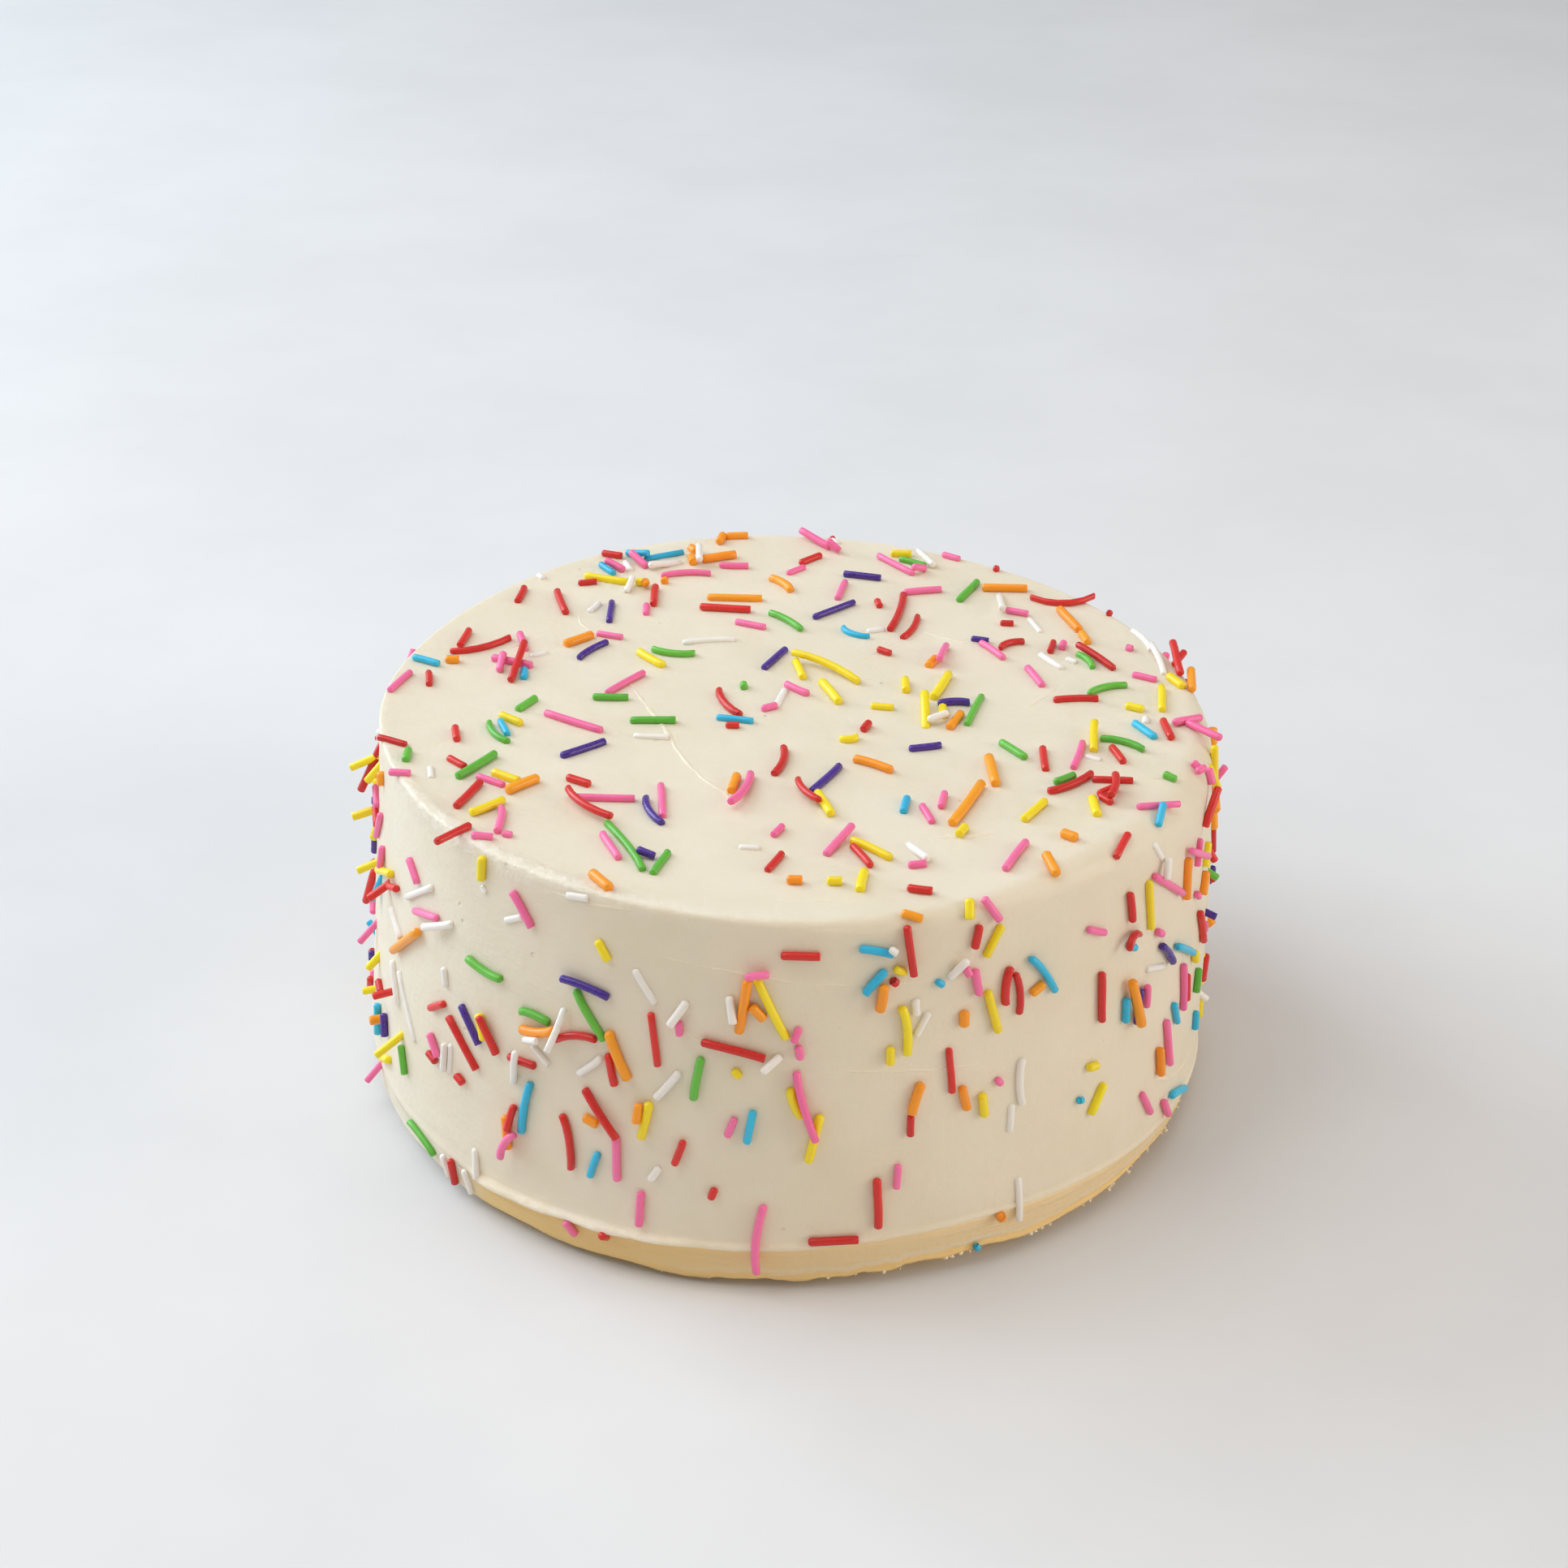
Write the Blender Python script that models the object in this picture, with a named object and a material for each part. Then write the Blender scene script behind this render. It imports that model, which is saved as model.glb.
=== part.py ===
"""Round birthday cake under a hand-smoothed coat of cream frosting, as one closed solid.

Metres, +Z up. The origin is the middle of the flat foot that the cake rests on, and the
front of the cake faces -Y. Angles run from +X towards +Y.
"""

import math

import bmesh
import bpy

# Heights above the surface that the cake rests on.
CAKE_HEIGHT = 0.0895
LEDGE_HEIGHT = 0.0112
SKIRT_HEIGHT = 0.0028

# Radii of the frosted cake, from the foot up. It narrows a little towards the top.
FOOT_RADIUS = 0.0892
SKIRT_RADIUS = 0.0954
BAND_RADIUS = 0.0958
LEDGE_RADIUS = 0.0966
MIDDLE_RADIUS = 0.0943
TOP_RADIUS = 0.0919

# The upper rim is crisp at the left of the front and soft at the right of it.
RIM_ROUND = 0.0028
RIM_SOFT_ROUND = 0.0066
RIM_SOFT_ANGLE = math.radians(335)

# The lip of frosting that the spatula left standing on the crisp part of the rim.
LIP_HEIGHT = 0.0013
LIP_INSET = 0.0036
LIP_WIDTH = 0.0022
LIP_ANGLE = math.radians(228)
LIP_SHARPNESS = 5

# How far the handwork strays from a turned shape.
TOP_SHIFT = 0.0011
OUT_OF_ROUND = 0.0008
TOP_WAVE = 0.0003
LEDGE_WAVE = 0.0021
LEDGE_WAVE_ANGLE = math.radians(293)
SKIRT_RAGGED = 0.0010

# Divisions of the surface.
SEGMENTS = 120
BAND_ROWS = 2
SIDE_ROWS = 12
RIM_ROWS = 5
TOP_ROWS = 9

FROSTING_SRGB = (0.929, 0.890, 0.812)
FROSTING_ROUGHNESS = 0.5


def clear_scene():
    """Remove whatever the scene holds."""
    for obj in list(bpy.data.objects):
        bpy.data.objects.remove(obj, do_unlink=True)


def linear_colour(srgb):
    """Turn an sRGB colour into the linear RGBA that a shader takes."""
    def to_linear(value):
        if value <= 0.04045:
            return value / 12.92
        return ((value + 0.055) / 1.055) ** 2.4

    return tuple(to_linear(value) for value in srgb) + (1.0,)


def frosting_material():
    """Cream frosting: pale, warm and satin."""
    material = bpy.data.materials.new("cream_frosting")
    material.use_nodes = True
    shader = material.node_tree.nodes["Principled BSDF"]
    shader.inputs["Base Color"].default_value = linear_colour(FROSTING_SRGB)
    shader.inputs["Roughness"].default_value = FROSTING_ROUGHNESS
    shader.inputs["Metallic"].default_value = 0.0
    return material


def out_of_round(angle, height):
    """How far the side stands off its turned shape, at an angle and a height."""
    lobes = math.cos(3 * angle + 0.45) + 0.8 * math.cos(4 * angle + 0.1)
    lobes += 0.3 * math.cos(7 * angle - 40 * height)
    return OUT_OF_ROUND * lobes * (0.4 + 0.6 * height / CAKE_HEIGHT)


def ledge_height(angle):
    """Height of the ledge, which waves up and down round the cake."""
    return LEDGE_HEIGHT + LEDGE_WAVE * math.cos(3 * (angle - LEDGE_WAVE_ANGLE))


def side_radius(height, ledge):
    """Radius of the side: a smooth curve through the ledge, the middle and the rim."""
    share = (height - ledge) / (CAKE_HEIGHT - ledge)
    below = 2 * (share - 0.5) * (share - 1) * LEDGE_RADIUS
    middle = -4 * share * (share - 1) * MIDDLE_RADIUS
    above = 2 * share * (share - 0.5) * TOP_RADIUS
    return below + middle + above


def skirt_rise(angle):
    """How far the ragged lower edge of the frosting stands above its mean height."""
    waves = 0.5 * math.cos(5 * angle + 0.5) + 0.35 * math.sin(9 * angle + 0.4)
    return SKIRT_RAGGED * (waves + 0.25 * math.sin(23 * angle + 2.0))


def rim_round(angle):
    """Radius of the rounding between the side and the top."""
    soft = (0.5 + 0.5 * math.cos(angle - RIM_SOFT_ANGLE)) ** 2
    return RIM_ROUND + (RIM_SOFT_ROUND - RIM_ROUND) * soft


def lip_rise(angle, radius):
    """Height of the frosting lip on the upper rim, strongest at one side of the front."""
    around = (0.5 + 0.5 * math.cos(angle - LIP_ANGLE)) ** LIP_SHARPNESS
    across = (radius - (TOP_RADIUS - LIP_INSET)) / LIP_WIDTH
    return LIP_HEIGHT * around * math.exp(-across * across)


def top_height(angle, radius):
    """Height of the top face, which the spatula left gently uneven."""
    x, y = radius * math.cos(angle), radius * math.sin(angle)
    wave = math.sin(x / 0.021 + 0.7) * math.cos(y / 0.026) + 0.5 * math.sin((x + y) / 0.034)
    return CAKE_HEIGHT + TOP_WAVE * wave + lip_rise(angle, radius)


def meridian(angle):
    """Radius and height of each row of points at one angle, from the foot to the top."""
    skirt = SKIRT_HEIGHT + skirt_rise(angle)
    ledge = ledge_height(angle)
    rounding = rim_round(angle)
    rows = [(FOOT_RADIUS, 0.0), (FOOT_RADIUS, SKIRT_HEIGHT)]

    band_top = ledge - (LEDGE_RADIUS - BAND_RADIUS)
    for row in range(BAND_ROWS + 1):
        share = row / BAND_ROWS
        radius = SKIRT_RADIUS + share * (BAND_RADIUS - SKIRT_RADIUS)
        rows.append((radius, skirt + share * (band_top - skirt)))

    rim_start = CAKE_HEIGHT - rounding
    for row in range(SIDE_ROWS + 1):
        height = ledge + row / SIDE_ROWS * (rim_start - ledge)
        rows.append((side_radius(height, ledge), height))

    arc_centre = side_radius(rim_start, ledge) - rounding
    for row in range(1, RIM_ROWS + 1):
        turn = math.pi / 2 * row / RIM_ROWS
        radius = arc_centre + rounding * math.cos(turn)
        fall = rounding * (1 - math.sin(turn))
        rows.append((radius, top_height(angle, radius) - fall))

    for row in range(1, TOP_ROWS):
        radius = arc_centre * (1 - (row / TOP_ROWS) ** 1.3)
        rows.append((radius, top_height(angle, radius)))
    return rows


def point_at(angle, radius, height):
    """Place one point of a row, with the side's unevenness and the lean of the cake."""
    reach = radius + out_of_round(angle, height) * radius / TOP_RADIUS
    lean = TOP_SHIFT * height / CAKE_HEIGHT
    return (reach * math.cos(angle) + lean, reach * math.sin(angle), height)


def foot_point(angle):
    """A point on the edge of the flat foot, which stays round."""
    return (FOOT_RADIUS * math.cos(angle), FOOT_RADIUS * math.sin(angle), 0.0)


def centre_on_box(points):
    """Shift the points sideways so that the middle of their box is the origin."""
    middle = [(min(p[i] for p in points) + max(p[i] for p in points)) / 2 for i in (0, 1)]
    return [(x - middle[0], y - middle[1], z) for x, y, z in points]


def cake_points():
    """All points of the skin, row after row, and last the middle of the top."""
    angles = [2 * math.pi * step / SEGMENTS for step in range(SEGMENTS)]
    columns = [meridian(angle) for angle in angles]
    points = [foot_point(angle) for angle in angles]
    for row in range(1, len(columns[0])):
        for angle, column in zip(angles, columns):
            points.append(point_at(angle, *column[row]))
    points.append(point_at(0.0, 0.0, top_height(0.0, 0.0)))
    return centre_on_box(points)


def build_cake():
    """Make the cake: foot, recess, base band, ledge, side, rim and top in one skin."""
    skin = bmesh.new()
    verts = [skin.verts.new(point) for point in cake_points()]
    middle = verts.pop()
    rows = [verts[i:i + SEGMENTS] for i in range(0, len(verts), SEGMENTS)]

    skin.faces.new(list(reversed(rows[0])))
    for lower, upper in zip(rows, rows[1:]):
        for i in range(SEGMENTS):
            j = (i + 1) % SEGMENTS
            skin.faces.new((lower[i], lower[j], upper[j], upper[i]))
    for i in range(SEGMENTS):
        skin.faces.new((rows[-1][i], rows[-1][(i + 1) % SEGMENTS], middle))
    bmesh.ops.recalc_face_normals(skin, faces=skin.faces)

    mesh = bpy.data.meshes.new("cake")
    skin.to_mesh(mesh)
    skin.free()
    mesh.shade_smooth()
    mesh.set_sharp_from_angle(angle=math.radians(50))
    mesh.materials.append(frosting_material())
    cake = bpy.data.objects.new("cake", mesh)
    bpy.context.scene.collection.objects.link(cake)
    return cake


clear_scene()
build_cake()
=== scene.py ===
"""Frosted birthday cake with sugar sprinkles: its looks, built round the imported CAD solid.

Metres, +Z up, the front of the cake faces -Y. Angles run from +X towards +Y. The frosting
repeats the shape of the solid and adds what a palette knife leaves; the sprinkles lie on
and in it, one piece for each colour.
"""

import sys

import logging
import math
import random
from collections.abc import Sequence
from dataclasses import dataclass, field
from enum import Enum
from typing import Any

import bpy
import numpy as np
from mathutils import Matrix, Vector
from mathutils.bvhtree import BVHTree


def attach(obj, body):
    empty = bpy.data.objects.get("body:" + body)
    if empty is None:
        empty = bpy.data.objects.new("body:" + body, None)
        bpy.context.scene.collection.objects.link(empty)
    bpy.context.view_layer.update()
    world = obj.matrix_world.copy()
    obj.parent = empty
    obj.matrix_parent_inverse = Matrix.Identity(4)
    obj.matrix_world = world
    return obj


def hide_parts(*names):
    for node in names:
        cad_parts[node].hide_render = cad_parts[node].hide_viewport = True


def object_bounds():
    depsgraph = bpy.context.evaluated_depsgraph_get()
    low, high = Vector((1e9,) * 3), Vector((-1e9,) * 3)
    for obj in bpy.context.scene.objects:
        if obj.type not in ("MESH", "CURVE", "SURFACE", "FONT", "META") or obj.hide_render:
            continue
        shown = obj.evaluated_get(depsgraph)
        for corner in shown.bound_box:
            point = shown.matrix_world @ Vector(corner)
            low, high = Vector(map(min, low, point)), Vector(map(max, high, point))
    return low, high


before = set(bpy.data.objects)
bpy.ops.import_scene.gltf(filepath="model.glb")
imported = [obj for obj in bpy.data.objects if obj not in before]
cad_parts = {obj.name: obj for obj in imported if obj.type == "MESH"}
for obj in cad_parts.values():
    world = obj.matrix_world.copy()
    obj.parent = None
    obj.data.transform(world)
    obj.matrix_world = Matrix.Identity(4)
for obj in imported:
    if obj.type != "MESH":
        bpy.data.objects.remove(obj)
CAD_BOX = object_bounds()

BODY = "root"
CAKE_NODE = "cake"
MM = 0.001
LOG = logging.getLogger("cake")

Pair = tuple[float, float]
Colour = tuple[float, float, float]
Values = np.ndarray
Socket = bpy.types.NodeSocket
# A smooth bump round the cake: its height, and its middle and width in degrees.
Bump = tuple[float, float, float]
# How fine a noise is along x, y and z, per metre.
Scales = tuple[float, float, float]


class Hue(Enum):
    """The colours that the sprinkles come in, by the end of their piece's name."""

    RED = "red"
    PINK = "pink"
    ORANGE = "orange"
    YELLOW = "yellow"
    GREEN = "green"
    BLUE = "blue"
    PURPLE = "purple"
    WHITE = "white"


class Face(Enum):
    """The two faces of the cake that sprinkles lie on."""

    TOP = "top"
    SIDE = "side"


def linear(colour: Colour) -> tuple[float, float, float, float]:
    """Turn an sRGB colour into the linear RGBA that a shader takes.

    Args:
        colour: Red, green and blue from 0 to 1, as a colour picker shows them.

    Returns:
        The same colour in linear values, with full alpha.
    """
    def channel(value: float) -> float:
        """Linear value of one channel."""
        return value / 12.92 if value <= 0.04045 else ((value + 0.055) / 1.055) ** 2.4

    return (*(channel(value) for value in colour), 1.0)


def bell(value: Values | float, middle: float, width: float) -> Values | float:
    """A smooth bump of height 1, which has fallen to 0.37 a width from its middle."""
    return np.exp(-((value - middle) / width) ** 2)


def turned(angle: Values | float, middle: float) -> Values | float:
    """How far an angle in radians lies from a middle in degrees, from -180 to 180 degrees."""
    return (np.degrees(angle) - middle + 180.0) % 360.0 - 180.0


def round_bumps(angle: Values, *bumps: Bump) -> Values:
    """Height of some smooth bumps round the cake, all added up."""
    return sum(height * bell(turned(angle, middle), 0.0, width)
               for height, middle, width in bumps)


def climb(value: Values, start: Values | float, width: float) -> Values:
    """A straight climb from 0 at the start to 1 a width on, or a negative width back."""
    return np.clip((value - start) / width, 0, 1)


class Nodes:
    """A node tree under construction, for geometry or for a material."""

    def __init__(self, tree: bpy.types.NodeTree) -> None:
        """Clear a tree and start on it."""
        self.tree = tree
        tree.nodes.clear()

    def add(self, kind: str, inputs: dict[str | int, Any] | None = None,
            **settings: Any) -> bpy.types.Node:
        """Add a node.

        Args:
            kind: Blender's type name of the node.
            inputs: What its inputs take, as fill says.
            settings: Properties of the node, set before its inputs.

        Returns:
            The node.
        """
        node = self.tree.nodes.new(kind)
        for name, value in settings.items():
            setattr(node, name, value)
        self.fill(node, inputs or {})
        return node

    def fill(self, node: bpy.types.Node, inputs: dict[str | int, Any]) -> None:
        """Link or set inputs of a node.

        Args:
            node: The node.
            inputs: A socket to link from, or a plain value, for each input by name or place.
        """
        for key, value in inputs.items():
            if isinstance(value, Socket):
                self.tree.links.new(value, node.inputs[key])
            else:
                node.inputs[key].default_value = value

    def out(self, kind: str, inputs: dict[str | int, Any] | None = None,
            **settings: Any) -> Socket:
        """First output of a new node, which is added as add says."""
        return self.add(kind, inputs, **settings).outputs[0]

    def calc(self, operation: str, *values: Any) -> Socket:
        """Output of a Math node with these inputs."""
        return self.out("ShaderNodeMath", dict(enumerate(values)), operation=operation)

    def times(self, first: Any, second: Any) -> Socket:
        """One number times another."""
        return self.calc("MULTIPLY", first, second)

    def plus(self, first: Any, second: Any) -> Socket:
        """One number plus another."""
        return self.calc("ADD", first, second)

    def minus(self, first: Any, second: Any) -> Socket:
        """One number minus another."""
        return self.calc("SUBTRACT", first, second)

    def added(self, value: Any, factor: Any, total: Any) -> Socket:
        """A number times a factor, added to a total."""
        return self.calc("MULTIPLY_ADD", value, factor, total)

    def vector(self, operation: str, *values: Any) -> Socket:
        """Output of a Vector Math node with these inputs."""
        return self.out("ShaderNodeVectorMath", dict(enumerate(values)), operation=operation)

    def scaled(self, vector: Any, factor: Any) -> Socket:
        """A vector times a number."""
        return self.out("ShaderNodeVectorMath", {0: vector, "Scale": factor}, operation="SCALE")

    def noise(self, vector: Any, scale: Any, detail: float = 2.0,
              roughness: float = 0.5) -> Socket:
        """Value of a Noise Texture, from 0 to 1 about 0.5."""
        return self.out("ShaderNodeTexNoise", {
            "Vector": vector, "Scale": scale, "Detail": detail, "Roughness": roughness})

    def ramp(self, value: Any, low: float, high: float, bottom: float = 0.0,
             top: float = 1.0) -> Socket:
        """A value mapped smoothly from the range low to high onto bottom to top."""
        return self.out("ShaderNodeMapRange", {
            0: value, 1: low, 2: high, 3: bottom, 4: top}, interpolation_type="SMOOTHSTEP")

    def mixed(self, factor: Any, first: Any, second: Any) -> Socket:
        """Two colours mixed by a factor."""
        inputs = {0: factor, 6: first, 7: second}
        return self.add("ShaderNodeMix", inputs, data_type="RGBA").outputs[2]

    def bumped(self, relief: Any, strength: float, depth: float) -> Socket:
        """The normal of a relief of this depth in metres."""
        return self.out("ShaderNodeBump", {
            "Strength": strength, "Distance": depth, "Height": relief})

    def place(self) -> Socket:
        """Object coordinates."""
        return self.add("ShaderNodeTexCoord").outputs["Object"]

    def mark(self, name: str) -> Socket:
        """A point's own number, by the attribute's name."""
        return self.add("ShaderNodeAttribute", attribute_name=name).outputs["Fac"]


class GeometryTree(Nodes):
    """A Geometry Nodes tree with named inputs, which is applied to an object's mesh."""

    def __init__(self, name: str, inputs: dict[str, Any]) -> None:
        """Make the tree and its sockets.

        Args:
            name: Name of the tree.
            inputs: The tree's own inputs, each with the value that it is to have.
        """
        super().__init__(bpy.data.node_groups.new(name, "GeometryNodeTree"))
        self.values = inputs
        face = self.tree.interface
        face.new_socket(name="Geometry", in_out="INPUT", socket_type="NodeSocketGeometry")
        face.new_socket(name="Geometry", in_out="OUTPUT", socket_type="NodeSocketGeometry")
        kinds = {float: "NodeSocketFloat", int: "NodeSocketInt",
                 bpy.types.Object: "NodeSocketObject", bpy.types.Material: "NodeSocketMaterial"}
        for label, value in inputs.items():
            face.new_socket(name=label, in_out="INPUT", socket_type=kinds[type(value)])
        self.start = self.add("NodeGroupInput")

    def given(self, label: str) -> Socket:
        """The output that carries one of the tree's inputs."""
        return self.start.outputs[label]

    def attribute(self, name: str, kind: str = "FLOAT") -> Socket:
        """The output that reads a named attribute."""
        return self.out("GeometryNodeInputNamedAttribute", {"Name": name}, data_type=kind)

    def sown(self, label: str, inputs: dict[str | int, Any]) -> Socket:
        """Put an instance of an object on each point of the tree's own geometry.

        Args:
            label: The tree's input that is the object.
            inputs: Other inputs of Instance on Points.

        Returns:
            The socket of the instances.
        """
        points = self.out("GeometryNodeMeshToPoints", {"Mesh": self.given("Geometry")})
        thing = self.add("GeometryNodeObjectInfo", {"Object": self.given(label)})
        return self.out("GeometryNodeInstanceOnPoints", {
            "Points": points, "Instance": thing.outputs["Geometry"], **inputs})

    def end(self, geometry: Socket) -> None:
        """Finish with Realize Instances and Set Material, and link the result out.

        Args:
            geometry: The geometry that the tree made.
        """
        real = self.out("GeometryNodeRealizeInstances", {0: geometry})
        painted = self.out("GeometryNodeSetMaterial", {
            "Geometry": real, "Material": self.given("Material")})
        self.add("NodeGroupOutput", {0: painted})

    def apply(self, obj: bpy.types.Object) -> bpy.types.Object:
        """Run the tree on an object and keep the result as its plain mesh.

        Args:
            obj: The object, whose mesh is the tree's input geometry.

        Returns:
            The same object with its new mesh and no modifier.
        """
        modifier = obj.modifiers.new(self.tree.name, "NODES")
        modifier.node_group = self.tree
        for item in self.tree.interface.items_tree:
            if item.in_out == "INPUT" and item.name in self.values:
                modifier[item.identifier] = self.values[item.name]
        graph = bpy.context.evaluated_depsgraph_get()
        mesh = bpy.data.meshes.new_from_object(
            obj.evaluated_get(graph), preserve_all_data_layers=True, depsgraph=graph)
        before = obj.data
        obj.modifiers.remove(modifier)
        obj.data = mesh
        bpy.data.meshes.remove(before)
        mesh.name = obj.name
        return obj


def new_mesh(name: str, points: Sequence[Any], edges: Sequence[tuple[int, int]] = (),
             faces: Sequence[tuple[int, ...]] = ()) -> bpy.types.Mesh:
    """Make a mesh.

    Args:
        name: Its name.
        points: Its points.
        edges: Pairs of points, for edges that no face has.
        faces: The points of each face.

    Returns:
        The mesh.
    """
    mesh = bpy.data.meshes.new(name)
    mesh.from_pydata(points, edges, faces)
    return mesh


def set_marks(mesh: bpy.types.Mesh, marks: dict[str, Sequence[Any]]) -> None:
    """Give the points of a mesh their own numbers or vectors.

    Args:
        mesh: The mesh.
        marks: A number or a vector for each point, by the attribute's name.
    """
    for name, rows in marks.items():
        if isinstance(rows[0], (Vector, tuple)):
            data = mesh.attributes.new(name, "FLOAT_VECTOR", "POINT").data
            data.foreach_set("vector", [value for row in rows for value in row])
        else:
            mesh.attributes.new(name, "FLOAT", "POINT").data.foreach_set("value", rows)


def new_object(name: str, data: bpy.types.ID) -> bpy.types.Object:
    """Link a new object that holds a mesh, a light or a camera.

    Args:
        name: Name of the object.
        data: What it holds.

    Returns:
        The object, at the origin.
    """
    obj = bpy.data.objects.new(name, data)
    bpy.context.scene.collection.objects.link(obj)
    return obj


def new_material(name: str) -> tuple[bpy.types.Material, Nodes, bpy.types.Node]:
    """Start a material with one principled shader.

    Args:
        name: Name of the material.

    Returns:
        The material, its tree and the shader node.
    """
    material = bpy.data.materials.new(name)
    material.use_nodes = True
    nodes = Nodes(material.node_tree)
    shader = nodes.add("ShaderNodeBsdfPrincipled")
    nodes.add("ShaderNodeOutputMaterial", {"Surface": shader.outputs[0]})
    return material, nodes, shader


@dataclass(frozen=True)
class FrostingFinish:
    """Cream frosting: satin, slightly translucent, with fine knife marks and air pocks.

    Grain, peel, torn, strokes and lines are kinds of fine relief, each with how fine its
    noise is, per metre, and its height as a share of the relief's depth.
    """

    cream: Colour = (0.926, 0.886, 0.801)
    shade: Colour = (0.910, 0.866, 0.772)
    # A warm reflection from below, painted on the band at the foot.
    painted_reflection_tint: Colour = (0.932, 0.800, 0.540)
    # Paler cream for the crest, partly its own whiter colour and partly a painted highlight, and
    # for the lip, a painted highlight.
    pale: Colour = (0.968, 0.950, 0.903)
    roughness: Pair = (0.42, 0.56)
    subsurface: float = 0.40
    depth_scale: float = 0.0040
    cloud_scale: float = 38.0
    patch_scale: float = 90.0
    pock_spacing: float = 0.0052
    pock_share: float = 0.16
    pock_depth: float = 2.2
    grain: Pair = (1700.0, 0.16)
    peel: Pair = (620.0, 0.7)
    torn: Pair = (460.0, 5.0)
    strokes: tuple[Scales, float] = ((60.0, 60.0, 620.0), 0.5)
    lines: tuple[Scales, float] = ((110.0, 110.0, 1700.0), 1.8)
    relief_depth: float = 0.00024
    relief_strength: float = 0.7

    def colour(self, nodes: Nodes, place: Socket) -> Socket:
        """Cream with faint clouds, a painted warm reflection on the band at the foot, and paler
        cream on the crest, partly whiter frosting and partly a painted highlight, and on the lip,
        a painted highlight.

        Args:
            nodes: The material's tree.
            place: Object coordinates.

        Returns:
            The colour socket.
        """
        clouds = nodes.ramp(nodes.noise(place, self.cloud_scale, 3.0, 0.6), 0.35, 0.7)
        cream = nodes.mixed(clouds, linear(self.cream), linear(self.shade))
        # A warm reflection painted on the band at the foot, where the low mark is set.
        cream = nodes.mixed(nodes.mark("low"), cream, linear(self.painted_reflection_tint))
        # Paler cream on the crest and lip, partly a painted highlight.
        ragged = nodes.ramp(nodes.noise(place, 260.0, 3.0, 0.65), 0.36, 0.62, 0.25, 1.0)
        pale = nodes.times(nodes.mark("thick"), ragged)
        return nodes.mixed(pale, cream, linear(self.pale))

    def pocks(self, nodes: Nodes, place: Socket) -> Socket:
        """Depth of the small air pocks, which lie in loose groups.

        Args:
            nodes: The material's tree.
            place: Object coordinates.

        Returns:
            A socket that falls to -1 in the middle of a pock and is 0 elsewhere.
        """
        cells = nodes.add("ShaderNodeTexVoronoi", {
            "Vector": place, "Scale": 1.0 / self.pock_spacing, "Randomness": 1.0})
        lot = nodes.out("ShaderNodeSeparateColor", {0: cells.outputs["Color"]})
        groups = nodes.ramp(nodes.noise(place, 26.0, 1.0), 0.42, 0.62)
        chosen = nodes.calc("GREATER_THAN", nodes.times(lot, groups), 1.0 - self.pock_share)
        dent = nodes.ramp(cells.outputs["Distance"], 0.03, 0.13, -1.0, 0.0)
        return nodes.times(dent, chosen)

    def bump(self, nodes: Nodes, place: Socket) -> Socket:
        """Normal with the satin grain, the faint knife strokes and the pocks.

        Args:
            nodes: The material's tree.
            place: Object coordinates.

        Returns:
            The normal socket.
        """
        strokes = nodes.noise(nodes.vector("MULTIPLY", place, self.strokes[0]), 1.0, 2.0, 0.55)
        lines = nodes.noise(nodes.vector("MULTIPLY", place, self.lines[0]), 1.0, 3.0, 0.6)
        grain = nodes.noise(place, self.grain[0], 1.0, 0.6)
        peel = nodes.noise(place, self.peel[0], 1.0, 0.5)
        torn = nodes.noise(place, self.torn[0], 3.0, 0.65)
        relief = nodes.added(grain, self.grain[1], nodes.times(strokes, self.strokes[1]))
        relief = nodes.added(peel, self.peel[1], relief)
        relief = nodes.added(self.pocks(nodes, place), self.pock_depth, relief)
        relief = nodes.added(nodes.times(nodes.mark("band"), lines), self.lines[1], relief)
        relief = nodes.added(nodes.times(nodes.mark("crest"), torn), self.torn[1], relief)
        return nodes.bumped(relief, self.relief_strength, self.relief_depth)

    def material(self) -> bpy.types.Material:
        """Make the frosting's material.

        Returns:
            The material, which reads the marks of the frosting's points.
        """
        material, nodes, shader = new_material("cream_frosting")
        shader.subsurface_method = "BURLEY"
        place = nodes.place()
        patches = nodes.noise(place, self.patch_scale, 2.0, 0.6)
        nodes.fill(shader, {
            "Base Color": self.colour(nodes, place),
            "Roughness": nodes.ramp(patches, 0.3, 0.7, *self.roughness),
            "Normal": self.bump(nodes, place),
            "Subsurface Weight": self.subsurface,
            "Subsurface Radius": (1.0, 0.72, 0.42),
            "Subsurface Scale": self.depth_scale,
            "Specular IOR Level": 0.42,
            "IOR": 1.45,
        })
        return material


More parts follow.
